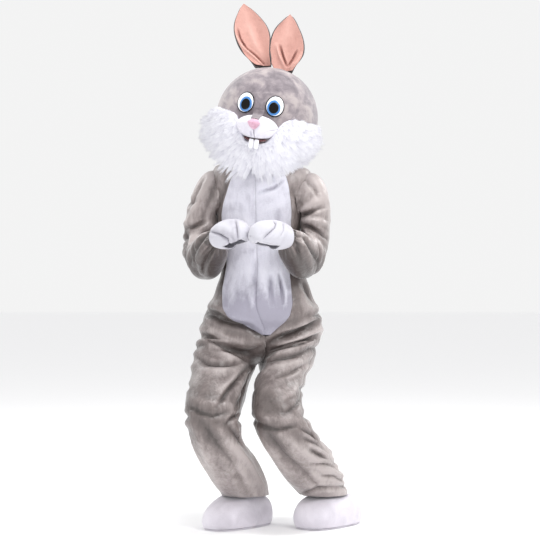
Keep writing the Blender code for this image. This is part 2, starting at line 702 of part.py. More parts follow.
def make_placket():
    """The strip over the closure, down the centre back to the waist."""
    def surface(w, v):
        w, v = np.broadcast_arrays(np.asarray(w, float), np.asarray(v, float))
        turn = np.abs(w) * 0.5 * PLACKET_WIDTH / 420.0
        left = BODY["left"](1 - CENTRE_U - turn, v)
        right = BODY["right"](1 - CENTRE_U - turn, v)
        return np.where((w > 0)[..., None], left, right)

    rows = BODY_ROWS[(BODY_ROWS > 0) & (BODY_ROWS <= PLACKET_END_ROW)]
    w, v = np.meshgrid(np.linspace(-1, 1, 5), rows)
    panel("back_placket", surface, w, v, 1, "grey_velour", thick=1.5, lift=SEAM + 1.5,
          u_low=-1.0, u_high=1.0)


# ---------------------------------------------------------------- head
def head_frame():
    """Turn and lean of the head, as a matrix from its own axes to the world's."""
    turn, lean = radians(-HEAD_YAW), radians(HEAD_ROLL)
    about_z = np.array([[cos(turn), -sin(turn), 0], [sin(turn), cos(turn), 0], [0, 0, 1]])
    about_y = np.array([[cos(lean), 0, sin(lean)], [0, 1, 0], [-sin(lean), 0, cos(lean)]])
    return about_y @ about_z


HEAD_AXES = head_frame()


def to_world(points):
    """Points in the head's own axes, moved to where the head is."""
    return points @ HEAD_AXES.T + HEAD_CENTRE


def head_point(azimuth, polar):
    """A point of the dome: azimuth from the front to the wearer's left, polar from the top."""
    a, p = np.broadcast_arrays(np.radians(azimuth), np.radians(polar))
    x = HEAD_RADII[0] * np.sin(p) * np.sin(a)
    y = -HEAD_RADII[1] * np.sin(p) * np.cos(a)
    z = HEAD_RADII[2] * np.cos(p)
    return np.stack((x, y, z), axis=-1)


def head_out(points):
    """The dome's outward direction at points on it."""
    return unit(points / HEAD_RADII ** 2)


# where the fur starts: azimuth in degrees, height from the head's centre
CHEEK = ((0, -98), (12, -94), (22, -78), (29, -22), (36, -4), (45, 0), (60, 0), (75, 0), (90, 0))


def cheek_polar(azimuth):
    """Where the grey plush ends and the fur starts."""
    table = np.array(CHEEK, float)
    height = np.interp(np.abs(azimuth), table[:, 0], table[:, 1])
    return np.degrees(np.arccos(height / HEAD_RADII[2]))


def shell(name, azimuth, polar, finish, shift):
    """A stretch of the foam-backed dome, moved off the ear-to-ear seam by half its gap."""
    points = head_point(azimuth, polar)
    out = head_out(points)
    moved = np.array([0.0, shift * SEAM / 2, 0.0])
    wall(name, to_world(points + moved), to_world(points - out * FOAM + moved), finish)


def make_dome():
    """Front and back halves of the dome, which meet in a seam from ear to ear."""
    share = np.linspace(0, 1, 9)[:, None]
    stations = np.array(CHEEK, float)[:, 0]
    azimuth = np.concatenate((-stations[:0:-1], stations))[None, :]
    end = cheek_polar(azimuth) - 0.1
    shell("head_front", azimuth + 0 * share, end * share, "grey_plush", -1)
    azimuth = np.linspace(90, 270, 13)[None, :]
    shell("head_back", azimuth + 0 * share, NECK_POLAR * share, "grey_plush", 1)


RUFFS = {  # azimuth in degrees, how far the fur stands out, how far it hangs
    "right": ((0, 30, 44), (12, 40, 52), (30, 46, 38), (50, 48, 14), (70, 50, 0), (90, 50, -6)),
    "left": ((0, 30, 44), (12, 40, 52), (30, 44, 38), (50, 42, 14), (70, 40, -4), (90, 38, -14)),
}
TUFT = 4.0                        # how far every other lock stands out


def make_ruff(name, side):
    """One cheek of long fur, as thick as the fur stands, with its tufted outer face."""
    stations = np.array(CHEEK, float)[:, 0]
    columns, rows = len(stations), 9
    share = np.linspace(0, 1, rows)[:, None]
    stations[0] = np.degrees(SEAM / HEAD_RADII[1])
    azimuth = stations[None, :] * side
    start = cheek_polar(azimuth) + 0.1
    polar = start + (NECK_POLAR - start) * share
    azimuth = azimuth + 0 * share
    points = head_point(azimuth, polar)
    out = head_out(points)
    table = np.array(RUFFS[name], float)
    reach = np.interp(np.abs(azimuth), table[:, 0], table[:, 1])
    hang = np.interp(np.abs(azimuth), table[:, 0], table[:, 2])
    full = 0.35 + 0.65 * np.sin(np.clip(share * 2.2, 0, 1) * pi / 2)
    under = np.abs(azimuth) < 40
    full = np.where(under, np.maximum(full, 0.55), full) * (1 - 0.18 * share)
    locks = TUFT * (-1.0) ** (np.arange(rows)[:, None] + np.arange(columns)[None, :])
    locks[:, [0, -1]] = 0
    locks[0, :] = 0
    beyond = (reach * full + locks)[..., None] * out
    beyond[:, 0, 0] = 0.0
    drop = (hang * share ** 2)[..., None] * np.array([0.0, 0.0, -1.0])
    outer = points + beyond + drop
    wall(f"ruff_{name}", to_world(outer), to_world(points - out * FOAM), "white_fur")


# ---------------------------------------------------------------- ears
EARS = {  # height, left edge, right edge, depth of the cup, lean to the back
    "right": (
        (1640, -18, 32, 20, 0), (1656, -48, 30, 26, 3), (1683, -73, 25, 27, 8),
        (1729, -93, 29, 22, 14), (1764, -98, 20, 17, 18), (1790, -94, 2, 12, 20),
        (1815, -84, -20, 7, 21), (1836, -75, -45, 3, 22), (1848, -65, -61, 0, 22),
    ),
    "left": (
        (1620, 46, 104, 20, 0), (1638, 34, 120, 26, 3), (1662, 26, 142, 27, 7),
        (1692, 27, 148, 24, 11), (1729, 32, 143, 19, 15), (1765, 48, 128, 13, 18),
        (1790, 73, 117, 7, 19), (1804, 88, 107, 3, 19), (1812, 96, 100, 0, 19),
    ),
}
EAR_Y = {"right": -18.0, "left": -5.0}
EAR_WALL = 5.0
LINING_WALL = 1.6
LINING_GAP = 2.2                  # clear of the back layer where the ear is cupped
LINING_INSET = 2.0


def ear_surface(name):
    """The cupped ear as a smooth sheet: u across it, v up it."""
    def across(row):
        low, left, right, cup, back = row

        def ring(u):
            u = np.asarray(u, float)
            x = (left + right) / 2 + (right - left) / 2 * u
            y = EAR_Y[name] + back - cup * u ** 2
            return np.stack((x, y + 0 * u, low + 0 * u), axis=-1)
        return ring
    return loft([across(row) for row in EARS[name]])


def seated(points, height):
    """Lift an ear's lowest row on to the dome below it."""
    local = (points[0] - HEAD_CENTRE) @ HEAD_AXES
    room = np.clip(1 - (local[:, 0] / HEAD_RADII[0]) ** 2 - (local[:, 1] / HEAD_RADII[1]) ** 2,
                   0.05, 1.0)
    on_dome = np.stack((local[:, 0], local[:, 1], HEAD_RADII[2] * np.sqrt(room)), axis=-1)
    moved = points.copy()
    moved[0] = to_world(on_dome + head_out(on_dome) * height)
    return moved


def make_ear(name):
    """A dark back layer and the pink lining that lies in front of it."""
    surface = ear_surface(name)
    last = len(EARS[name]) - 1
    u, v = np.meshgrid(np.linspace(-1, 1, 7), np.linspace(0, last, 12))
    front = surface(u, v)
    out = normals(surface, u, v, 1, -1.0, 1.0)
    out = out * np.sign(-out[..., 1:2])
    wall(f"ear_{name}_back", seated(front, 0.5), seated(front - out * EAR_WALL, 0.5),
         "dark_velour")
    width = np.linalg.norm(front[:, -1] - front[:, 0], axis=-1)
    keep = np.clip(1 - 2 * LINING_INSET / np.maximum(width, 1e-6), 0.15, 1.0)
    u, v = np.meshgrid(np.linspace(-1, 1, 7), np.linspace(0.25, last - 0.2, 10))
    keep = np.interp(v[:, :1], np.linspace(0, last, 12), keep)
    u = u * keep
    front = surface(u, v)
    out = normals(surface, u, v, 1, -1.0, 1.0)
    out = out * np.sign(-out[..., 1:2])
    lifted = front + out * (LINING_GAP + LINING_WALL)
    wall(f"ear_{name}_lining", lifted, lifted - out * LINING_WALL, "pink_velour")


# ---------------------------------------------------------------- face
EYE_X, EYE_Z = 50.0, 30.0
EYE_HALF_WIDTH, EYE_UP, EYE_DOWN = 31.0, 40.0, 35.0
EYE_LAYERS = (  # name, share of the outline, x shift, z shift, first lift, last lift, finish
    ("rim", 1.00, 0.0, 0.0, 1.2, 2.8, "black_gloss"),
    ("white", 0.89, 0.0, 0.0, 3.1, 4.4, "white_gloss"),
    ("iris", 0.70, -3.0, -6.0, 4.9, 6.0, "blue_gloss"),
    ("pupil", 0.50, -3.0, -6.0, 6.4, 7.5, "black_gloss"),
)


def dome_at(x, z):
    """The dome's front face at a place seen from the front."""
    room = 1 - (x / HEAD_RADII[0]) ** 2 - (z / HEAD_RADII[2]) ** 2
    return np.stack((x, -HEAD_RADII[1] * np.sqrt(np.maximum(room, 0.02)), z), axis=-1)


def disc(count_round, count_out):
    """Shares of the way out and turns round, for a filled round patch."""
    share, turn = np.meshgrid(np.linspace(0, 1, count_out), np.arange(count_round))
    return share.T, (turn * 2 * pi / count_round).T


def make_eye(name, side):
    """Four flat layers that follow the dome, each smaller than the one behind it."""
    share, angle = disc(18, 2)
    for layer, size, shift_x, shift_z, low, high, finish in EYE_LAYERS:
        half_height = np.where(np.sin(angle) > 0, EYE_UP, EYE_DOWN)
        x = side * (EYE_X + shift_x) + share * size * EYE_HALF_WIDTH * np.cos(angle)
        z = EYE_Z + shift_z + share * size * half_height * np.sin(angle)
        base = dome_at(x, z)
        out = head_out(base)
        wall(f"eye_{layer}_{name}", to_world(base + out * high), to_world(base + out * low),
             finish, round_ring=True)


MUZZLE_Z, MUZZLE_HALF, MUZZLE_UP, MUZZLE_DOWN = -44.0, 73.0, 38.0, 42.0
MUZZLE_HEIGHT = 62.0
MUZZLE_EDGE = 4.0
MUZZLE_GAP = 1.0                  # clear of the dome's facets


def muzzle_rise(x, z):
    """How far the padded muzzle stands out from the dome."""
    high = np.where(z > MUZZLE_Z, MUZZLE_UP, MUZZLE_DOWN)
    out = np.clip((x / MUZZLE_HALF) ** 2 + ((z - MUZZLE_Z) / high) ** 2, 0, 1)
    lobes = 1 - 0.16 * np.exp(-(x / 13.0) ** 2)
    ramp = 0.5 + 0.35 * np.clip((z - MUZZLE_Z) / MUZZLE_UP, 0, 1) ** 2
    return MUZZLE_EDGE + (MUZZLE_HEIGHT - MUZZLE_EDGE) * (1 - out) ** ramp * lobes


def face_at(x, z, lift=0.0):
    """The dome, or the muzzle's face where it stands in front of it."""
    high = np.where(z > MUZZLE_Z, MUZZLE_UP, MUZZLE_DOWN)
    inside = (x / MUZZLE_HALF) ** 2 + ((z - MUZZLE_Z) / high) ** 2 < 1.12
    base = dome_at(x, z)
    rise = np.where(inside, muzzle_rise(x, z) + MUZZLE_GAP, 0.0) + lift
    return base + rise[..., None] * np.array([0.0, -1.0, 0.0])


def make_muzzle(name, side):
    """One padded cheek of the muzzle."""
    share, turn = np.meshgrid(np.sin(np.linspace(0, 1, 6) * pi / 2), np.linspace(-90, 90, 13),
                              indexing="ij")
    turn = np.radians(turn)
    x = side * (share * MUZZLE_HALF * np.cos(turn) + SEAM / 2)
    high = np.where(turn > 0, MUZZLE_UP, MUZZLE_DOWN)
    z = MUZZLE_Z + share * high * np.sin(turn)
    back = dome_at(x, z) + np.array([0.0, -MUZZLE_GAP, 0.0])
    front = back + muzzle_rise(x, z)[..., None] * np.array([0.0, -1.0, 0.0])
    wall(f"muzzle_{name}", to_world(front), to_world(back), "white_plush")


NOSE_GAP = 2.0
NOSE_Z, NOSE_HALF_WIDTH, NOSE_UP, NOSE_DOWN, NOSE_RISE = -38.0, 23.0, 15.0, 22.0, 15.0


def make_nose():
    """A padded pink nose, wide above and narrow below, on the front of the muzzle."""
    share, angle = disc(16, 4)
    narrow = 1 - 0.38 * np.clip(-np.sin(angle), 0, 1)
    x = share * NOSE_HALF_WIDTH * np.cos(angle) * narrow
    z = NOSE_Z + share * np.where(np.sin(angle) > 0, NOSE_UP, NOSE_DOWN) * np.sin(angle)
    back = face_at(x, z, NOSE_GAP)
    rise = 2.0 + NOSE_RISE * np.sqrt(1 - share ** 2 * 0.999)
    front = back + rise[..., None] * np.array([0.0, -1.0, 0.0])
    wall("nose", to_world(front), to_world(back), "pink_plush", round_ring=True)


# height from the head's centre, half width
BRIDGE = ((12, 20), (4, 19), (-2, 18), (-6, 17), (-9, 16), (-13, 15), (-18, 14), (-22, 13))
BRIDGE_GAP, BRIDGE_WALL = 3.0, 2.4


def make_bridge():
    """The grey strip that runs from between the eyes down to the nose."""
    table = np.array(BRIDGE, float)
    share = np.linspace(-1, 1, 7)[None, :]
    x = table[:, 1:] * share
    z = table[:, :1] + 0 * share
    back = face_at(x, z, BRIDGE_GAP)
    front = face_at(x, z, BRIDGE_GAP + BRIDGE_WALL)
    wall("nose_bridge", to_world(front), to_world(back), "grey_plush")


MOUTH_TOP, MOUTH_BOTTOM, MOUTH_HALF, MOUTH_THICK = -88.0, -97.0, 38.0, 18.0


def make_mouth():
    """The dark felt of the open mouth, under the muzzle."""
    x = np.linspace(-MOUTH_HALF, MOUTH_HALF, 9)[None, :]
    bend = (x / MOUTH_HALF) ** 2
    top = MOUTH_TOP + 5.0 * bend
    bottom = MOUTH_BOTTOM + 10.0 * bend
    z = np.vstack((top, (top + bottom) / 2, bottom))
    x = x + 0 * z
    back = dome_at(x, z) + np.array([0.0, -MUZZLE_GAP, 0.0])
    front = back + np.array([0.0, -MOUTH_THICK, 0.0])
    wall("mouth", to_world(front), to_world(back), "mouth_felt")


TOOTH_WIDTH, TOOTH_TOP, TOOTH_BOTTOM, TOOTH_THICK = 17.0, -88.0, -120.0, 5.0


def make_tooth(name, side):
    """One flat felt tooth with rounded lower corners."""
    across, down = np.meshgrid(np.linspace(0, 1, 5), np.linspace(0, 1, 5))
    x = side * (0.6 + TOOTH_WIDTH * across)
    round_off = 5.0 * (2 * across - 1) ** 4 * down ** 4
    z = TOOTH_TOP + (TOOTH_BOTTOM - TOOTH_TOP) * down + round_off
    mouth_front = dome_at(np.array([0.0]), np.array([MOUTH_TOP]))[0, 1] - MOUTH_THICK
    front_y = mouth_front - MUZZLE_GAP - 1.0
    back = np.stack((x, front_y + 0 * x, z), axis=-1)
    front = back + np.array([0.0, -TOOTH_THICK, 0.0])
    wall(f"tooth_{name}", to_world(front), to_world(back), "white_felt")


# ---------------------------------------------------------------- mitts and shoe covers
# share of the way from wrist to tip, and the section's reach to the side, up and down
MITT = ((0.0, 38, 34, 30), (0.15, 42, 38, 32), (0.35, 46, 42, 30), (0.55, 47, 42, 26),
        (0.75, 42, 37, 20), (0.9, 31, 28, 14), (0.97, 20, 18, 8))
MITTS = {  # wrist, tip
    "right": ((-150, -201, 1027), (-50, -284, 1040)),
    "left": ((86, -244, 1027), (-36, -318, 1030)),
}
MITT_STEPS = 16


def make_mitt(name):
    """A padded mitt, open at the wrist and along its underside where the fingers come out."""
    wrist, tip = (np.array(point, float) for point in MITTS[name])
    ahead = unit(tip - wrist)
    across = unit(np.cross(ahead, np.array([0.0, 0.0, 1.0])))
    up = unit(np.cross(across, ahead))
    rings = []
    for share, side_reach, up_reach, down_reach in MITT:
        rings.append(oval_ring(wrist + (tip - wrist) * share, across, up,
                               side_reach, up_reach, down_reach))
    surface = loft(rings)
    rows = np.linspace(0, len(MITT) - 1, 10)
    u, v = np.meshgrid(np.arange(MITT_STEPS) / MITT_STEPS, rows)
    cells = np.ones((len(rows) - 1, MITT_STEPS), bool)
    cells[3:7, 10:14] = False
    panel(f"mitt_{name}", surface, u, v, -1, "white_plush", thick=PLUSH, cells=cells,
          round_ring=True)


SHOES = {  # rows: height above the floor, reach to the toe and the heel, half width
    "right": {"middle": (-82, -15), "heading": 41, "rows": (
        (6.5, 148, 140, 72), (26, 156, 144, 77), (50, 148, 143, 77), (72, 122, 138, 74),
        (92, 84, 122, 69), (103, 46, 94, 60), (110, 24, 78, 53), (126, 16, 74, 50))},
    "left": {"middle": (231, 3), "heading": 39, "rows": (
        (6.5, 140, 142, 76), (26, 150, 147, 81), (50, 148, 148, 82), (74, 132, 146, 79),
        (94, 100, 130, 72), (103, 56, 82, 58), (109, 40, 52, 45), (126, 36, 44, 43))},
}
SOLE = 6.0
SHOE_STEPS = 20
SHOE_CORNER = 2.6                 # squareness of the shoe's outline


def shoe_ring(name, height, toe, heel, half_width):
    """An outline of the shoe cover at one height above the floor."""
    shoe = SHOES[name]
    centre, front, left = turned(*shoe["middle"], shoe["heading"])
    centre[2] = FLOOR + height

    def ring(u):
        angle = 2 * pi * np.asarray(u, float)
        forward = np.sign(np.sin(angle)) * np.abs(np.sin(angle)) ** (2 / SHOE_CORNER)
        lateral = np.sign(np.cos(angle)) * np.abs(np.cos(angle)) ** (2 / SHOE_CORNER)
        forward = forward * np.where(forward > 0, toe, heel)
        return centre + forward[..., None] * front + (lateral * half_width)[..., None] * left
    return ring


def make_shoe(name):
    """A flat sole and the hollow upper that stands on it."""
    rings = [shoe_ring(name, *row) for row in SHOES[name]["rows"]]
    surface = loft(rings)
    turns = (np.arange(SHOE_STEPS) + 0.5) / SHOE_STEPS
    u, v = np.meshgrid(turns, np.linspace(0, len(rings) - 1, 9))
    panel(f"shoe_upper_{name}", surface, u, v, 1, "white_plush", thick=PLUSH, round_ring=True)
    outline = rings[0](turns)
    outline[:, 2] = FLOOR + SOLE - SEAM / 2
    bm = bmesh.new()
    corners = [bm.verts.new(Vector((point - HOLD) * METRE)) for point in outline]
    top = bm.faces.new(corners)
    grown = bmesh.ops.extrude_face_region(bm, geom=[top])
    moved = [item for item in grown["geom"] if isinstance(item, bmesh.types.BMVert)]
    bmesh.ops.translate(bm, verts=moved, vec=(0, 0, -(SOLE - SEAM / 2) * METRE))
    add_object(f"shoe_sole_{name}", bm, "white_plush")


# ---------------------------------------------------------------- the part
def clear_scene():
    """Remove what the scene holds and make the two collections."""
    for old in list(bpy.data.objects):
        bpy.data.objects.remove(old, do_unlink=True)
    for name in ("rabbit_mascot_costume", "cutters"):
        bpy.context.scene.collection.children.link(bpy.data.collections.new(name))


clear_scene()
for half_name, half_side in SIDES:
    make_body(half_name, half_side)
    make_sleeve(half_name, half_side)
    cut_armholes(half_name, half_side)
    make_ruff(half_name, half_side)
    make_ear(half_name)
    make_eye(half_name, half_side)
    make_muzzle(half_name, half_side)
    make_tooth(half_name, half_side)
    make_mitt(half_name)
    make_shoe(half_name)
make_neckband()
make_placket()
make_dome()
make_bridge()
make_nose()
make_mouth()
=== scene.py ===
"""The looks of the rabbit mascot costume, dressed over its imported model.

The garment tables are in millimetres above the floor, as a pattern cutter would measure the
worn suit: +X to the wearer's left, -Y to the front. The scene is in metres.
"""
from math import acos, atan, cos, pi, radians, sin, tan

import bmesh
import bpy
import numpy as np
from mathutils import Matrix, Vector


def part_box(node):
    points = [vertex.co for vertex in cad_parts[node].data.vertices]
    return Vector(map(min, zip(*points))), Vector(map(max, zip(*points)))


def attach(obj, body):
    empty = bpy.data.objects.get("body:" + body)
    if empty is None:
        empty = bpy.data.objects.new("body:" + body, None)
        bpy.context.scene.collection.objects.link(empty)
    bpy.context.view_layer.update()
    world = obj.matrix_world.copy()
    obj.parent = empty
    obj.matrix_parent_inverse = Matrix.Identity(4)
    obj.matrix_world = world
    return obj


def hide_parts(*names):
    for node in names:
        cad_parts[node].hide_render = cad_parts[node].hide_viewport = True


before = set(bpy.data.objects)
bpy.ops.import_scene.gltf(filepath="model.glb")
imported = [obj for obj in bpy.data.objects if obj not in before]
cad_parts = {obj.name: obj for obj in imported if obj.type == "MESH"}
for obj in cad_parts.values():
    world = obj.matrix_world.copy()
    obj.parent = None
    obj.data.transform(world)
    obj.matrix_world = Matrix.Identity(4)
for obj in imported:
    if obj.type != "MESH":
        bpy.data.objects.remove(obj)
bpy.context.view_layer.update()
bpy.ops.object.select_all(action="DESELECT")

# ---------------------------------------------------------------- studio
# A plain pale floor at the soles, soft lamps all round and a long lens six metres in front,
# level with the wearer's waist.
FLOOR_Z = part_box("shoe_sole_right")[0].z
FLOOR_GAP = 0.0005                # the floor lies this far below the soles
FLOOR_SIZE = 60
FLOOR_SHADE = (250, 250, 251)
VIEWER = Vector((0.028, -6.020, -0.353))
FRAME, LENS_REACH = 540, 1714.3   # side of the square frame, and the lens's reach in its units
HALF_VIEW = atan(FRAME / 2 / LENS_REACH)
DAYLIGHT = 0.90

camera_data = bpy.data.cameras.new("camera")
camera_data.lens = camera_data.sensor_width / 2 / tan(HALF_VIEW)
camera = bpy.data.objects.new("camera", camera_data)
camera.location = VIEWER
camera.rotation_euler = (radians(90), 0, 0)
bpy.context.scene.collection.objects.link(camera)
bpy.context.scene.camera = camera
bpy.context.scene.view_settings.view_transform = "Standard"

LAMPS = (  # name, place, aimed at, width, watts
    ("key", (2.6, -3.3, 2.9), (0.0, 0.0, -0.4), 1.3, 95),
    ("fill", (-3.2, -3.4, 0.6), (0.0, 0.0, -0.5), 2.4, 20),
    ("back_left", (-2.8, 2.6, 1.8), (0.0, 0.0, -0.2), 1.6, 22),
    ("back_right", (3.0, 2.4, 1.8), (0.0, 0.0, -0.2), 1.6, 40),
    ("top", (0.3, -0.9, 3.4), (0.0, 0.0, -0.4), 1.4, 85),
)
for lamp_name, place, target, width, watts in LAMPS:
    light = bpy.data.lights.new(lamp_name, "AREA")
    light.shape = "DISK"
    light.size = width
    light.energy = watts
    lamp = bpy.data.objects.new(lamp_name, light)
    lamp.location = place
    lamp.rotation_euler = (Vector(target) - Vector(place)).to_track_quat("-Z", "Y").to_euler()
    bpy.context.scene.collection.objects.link(lamp)

surround = bpy.data.worlds.new("surround")
surround.use_nodes = True
surround.node_tree.nodes["Background"].inputs["Color"].default_value = (1.0, 1.0, 1.0, 1.0)
surround.node_tree.nodes["Background"].inputs["Strength"].default_value = DAYLIGHT
bpy.context.scene.world = surround

bpy.ops.mesh.primitive_plane_add(size=FLOOR_SIZE, location=(0, 0, FLOOR_Z - FLOOR_GAP))
floor = bpy.context.object
floor.name = "floor"


class Tone:
    """A value that varies over a piece; adding or multiplying Tones adds the nodes for it."""

    def __init__(self, finish, socket):
        self.finish = finish
        self.socket = socket

    def _sum(self, operation, first, second):
        return self.finish.node("Math", {0: first, 1: second}, operation=operation)

    def __add__(self, other):
        return self._sum("ADD", self, other)

    def __sub__(self, other):
        return self._sum("SUBTRACT", self, other)

    def __rsub__(self, other):
        return self._sum("SUBTRACT", other, self)

    def __mul__(self, other):
        return self._sum("MULTIPLY", self, other)

    __radd__ = __add__
    __rmul__ = __mul__


class Finish:
    """A material under construction: its nodes, and the shader that they feed."""

    def __init__(self, name, roughness=0.7, **constants):
        self.material = bpy.data.materials.new(name)
        self.material.use_nodes = True
        self.tree = self.material.node_tree
        self.shader = self.tree.nodes["Principled BSDF"]
        self.shader.inputs["Roughness"].default_value = roughness
        for socket, value in constants.items():
            self.shader.inputs[socket.replace("_", " ")].default_value = value

    def node(self, kind, sockets=(), out=0, stops=(), **settings):
        """Any node: its settings and a ramp's stops first, then its sockets' values or links."""
        made = self.tree.nodes.new("ShaderNode" + kind)
        for name, value in settings.items():
            setattr(made, name, value)
        if stops:
            ramp = made.color_ramp.elements
            while len(ramp) < len(stops):
                ramp.new(1.0)
            for element, (place, colour) in zip(ramp, stops):
                element.position = place
                element.color = screen(colour)
        for key, value in dict(sockets).items():
            self.feed(made.inputs[key], value)
        return Tone(self, made.outputs[out])

    def feed(self, socket, value):
        if isinstance(value, Tone):
            self.tree.links.new(value.socket, socket)
        else:
            socket.default_value = value

    def set(self, **sockets):
        for name, value in sockets.items():
            self.feed(self.shader.inputs[name.replace("_", " ")], value)

    def place(self, stretch=(1.0, 1.0, 1.0)):
        """Where on the garment, in metres; a stretch below 1 draws a pattern out that way."""
        coordinates = self.node("TexCoord", out="Object")
        return self.node("Mapping", {"Vector": coordinates, "Scale": stretch})

    def cloud(self, size, where, detail=3.0, distortion=0.0, roughness=0.55):
        """Soft blotches about as big as size, in metres."""
        return self.node("TexNoise", {"Vector": where, "Scale": 1 / size, "Detail": detail,
                                      "Distortion": distortion, "Roughness": roughness})

    def bump(self, height, depth, strength=1.0, under=None):
        sockets = {"Height": height, "Distance": depth, "Strength": strength}
        if under:
            sockets["Normal"] = under
        return self.node("Bump", sockets)

    def attribute(self, name):
        return self.node("Attribute", out="Fac", attribute_name=name)


def screen(colour):
    """A colour given as it looks on a screen, from 0 to 255, as the light it stands for."""
    parts = [value / 255 for value in colour]
    return tuple(part / 12.92 if part <= 0.04045 else ((part + 0.055) / 1.055) ** 2.4
                 for part in parts) + (1.0,)


pale = Finish("pale_floor", roughness=0.9)
pale.set(Base_Color=screen(FLOOR_SHADE))
floor.data.materials.append(pale.material)

# ---------------------------------------------------------------- jumpsuit: the body's form
# The suit is cut as two halves that meet down the centre front and centre back. Each half runs
# from the neckline to the trouser hem as one smooth skin; the tables give its sections.
ORIGIN = np.array([0.0, 20.0, 1270.0])  # the base of the neck, where the scene has its zero
METRE = 0.001
UP = np.array([0.0, 0.0, 1.0])
CLOTH = 0.0018                    # the velour's thickness, in metres
SEAM = 0.3                        # gap between pieces at a seam
SIDES = (("right", -1), ("left", 1))

CENTRE_U = 1 / 8                  # where the centre front sits on a ring; the back is at 7/8
TRUNK_COLUMNS = ("z_front", "z_side_right", "z_side_left", "z_back", "x", "y",
                 "half_right", "half_left", "front", "back", "turn")
TRUNK = (
    (1283, 1303, 1297, 1302, 2, 15, 80, 80, 78, 72, 9),
    (1262, 1293, 1280, 1288, 2, 15, 136, 132, 98, 92, 11),
    (1236, 1281, 1265, 1268, 2, 14, 169, 166, 112, 106, 12),
    (1204, 1254, 1241, 1236, 2, 13, 181, 177, 118, 112, 12),
    (1166, 1200, 1190, 1190, 2, 12, 172, 166, 120, 114, 12),
    (1120, 1140, 1132, 1134, 2, 11, 164, 152, 119, 112, 12),
    (1070, 1078, 1074, 1076, 2, 10, 157, 138, 114, 110, 12),
    (1010, 1012, 1010, 1012, 3, 10, 149, 129, 106, 110, 12),
    (950, 950, 950, 950, 4, 11, 146, 126, 104, 112, 12),
    (900, 902, 902, 902, 4, 14, 150, 145, 112, 118, 11),
    (858, 862, 862, 862, 4, 18, 164, 162, 126, 126, 11),
    (820, 822, 822, 824, 5, 22, 178, 174, 142, 136, 10),
    (782, 784, 784, 788, 4, 26, 200, 194, 153, 144, 8),
    (747, 750, 750, 752, 3, 29, 208, 207, 153, 148, 3),
    (714, 716, 716, 716, -2, 31, 211, 211, 140, 150, -4),
    (676, 684, 684, 676, -6, 32, 209, 216, 134, 150, -8),
)
CROTCH_SAG = 82.0                 # drop of the crotch seam below its ends
INSEAM_GAP, INSEAM_ROWS = 3.0, 3.0  # how far each inseam keeps from the middle, over which rows
LEG_COLUMNS = ("x", "y", "z", "pitch", "roll", "heading", "inner", "outer", "front", "back")
LEGS = {
    "right": (
        (-128, 20, 618, 22, 20, 8, 110, 106, 128, 132),
        (-141, -50, 560, 40, 8, 12, 94, 101, 104, 104),
        (-151, -112, 512, 48, 0, 20, 96, 101, 97, 96),
        (-161, -166, 468, 36, 0, 25, 96, 100, 96, 92),
        (-164, -204, 425, 12, 0, 27, 93, 97, 92, 80),
        (-157, -212, 383, -8, 0, 27, 93, 95, 86, 72),
        (-149, -196, 344, -24, 0, 27, 86, 91, 80, 70),
        (-134, -164, 302, -36, 0, 26, 84, 86, 78, 70),
        (-113, -118, 258, -38, 0, 24, 86, 86, 78, 74),
        (-91, -72, 212, -32, 0, 22, 88, 87, 80, 78),
        (-70, -34, 168, -16, 0, 20, 87, 86, 82, 80),
        (-58, -12, 134, 0, 0, 20, 84, 84, 84, 84),
    ),
    "left": (
        (90, 20, 606, 24, -20, 3, 112, 110, 118, 128),
        (72, -46, 562, 38, -6, 12, 82, 85, 98, 102),
        (60, -98, 518, 45, 0, 20, 82, 82, 93, 94),
        (54, -150, 476, 36, 0, 25, 86, 86, 93, 90),
        (57, -192, 432, 14, 0, 27, 92, 94, 90, 80),
        (69, -204, 392, -8, 0, 27, 96, 98, 86, 72),
        (92, -186, 350, -26, 0, 24, 98, 100, 84, 70),
        (120, -142, 306, -36, 0, 20, 99, 100, 84, 74),
        (146, -100, 262, -36, 0, 18, 99, 100, 86, 80),
        (170, -60, 218, -28, 0, 18, 97, 98, 86, 84),
        (194, -22, 174, -14, 0, 18, 92, 94, 86, 86),
        (214, 2, 134, 0, 0, 18, 86, 86, 86, 86),
    ),
}
CROTCH_ROW = len(TRUNK) - 1
HEM_ROW = len(TRUNK) + len(LEGS["right"]) - 1


def unit(vectors):
    length = np.linalg.norm(vectors, axis=-1, keepdims=True)
    return vectors / np.maximum(length, 1e-9)


def loft(rings):
    """The smooth surface through rings: u runs round them and v counts them."""
    last = len(rings) - 1

    def surface(u, v):
        u, v = np.broadcast_arrays(np.asarray(u, float), np.asarray(v, float))
        stack = np.array([ring(u) for ring in rings])
        k = np.clip(np.floor(v).astype(int), 0, last - 1)
        t = (v - k)[..., None]

        def pick(index):
            clipped = np.clip(index, 0, last)[None, ..., None]
            return np.take_along_axis(stack, clipped, axis=0)[0]

        b, c = pick(k), pick(k + 1)
        a = np.where((k == 0)[..., None], 2 * b - c, pick(k - 1))
        d = np.where((k == last - 1)[..., None], 2 * c - b, pick(k + 2))
        ab, bc, cd = (np.maximum(np.linalg.norm(q - p, axis=-1, keepdims=True), 1e-6)
                      for p, q in ((a, b), (b, c), (c, d)))
        start = ((b - a) / ab * bc + (c - b) / bc * ab) / (ab + bc) * bc
        end = ((c - b) / bc * cd + (d - c) / cd * bc) / (bc + cd) * bc
        return ((2 * t**3 - 3 * t**2 + 1) * b + (t**3 - 2 * t**2 + t) * start
                + (3 * t**2 - 2 * t**3) * c + (t**3 - t**2) * end)
    return surface


def turned(x, y, degrees):
    """Front and left directions of a body turned to the wearer's right."""
    a = radians(degrees)
    front = np.array([-sin(a), -cos(a), 0.0])
    left = np.array([cos(a), -sin(a), 0.0])
    return np.array([x, y, 0.0]), front, left


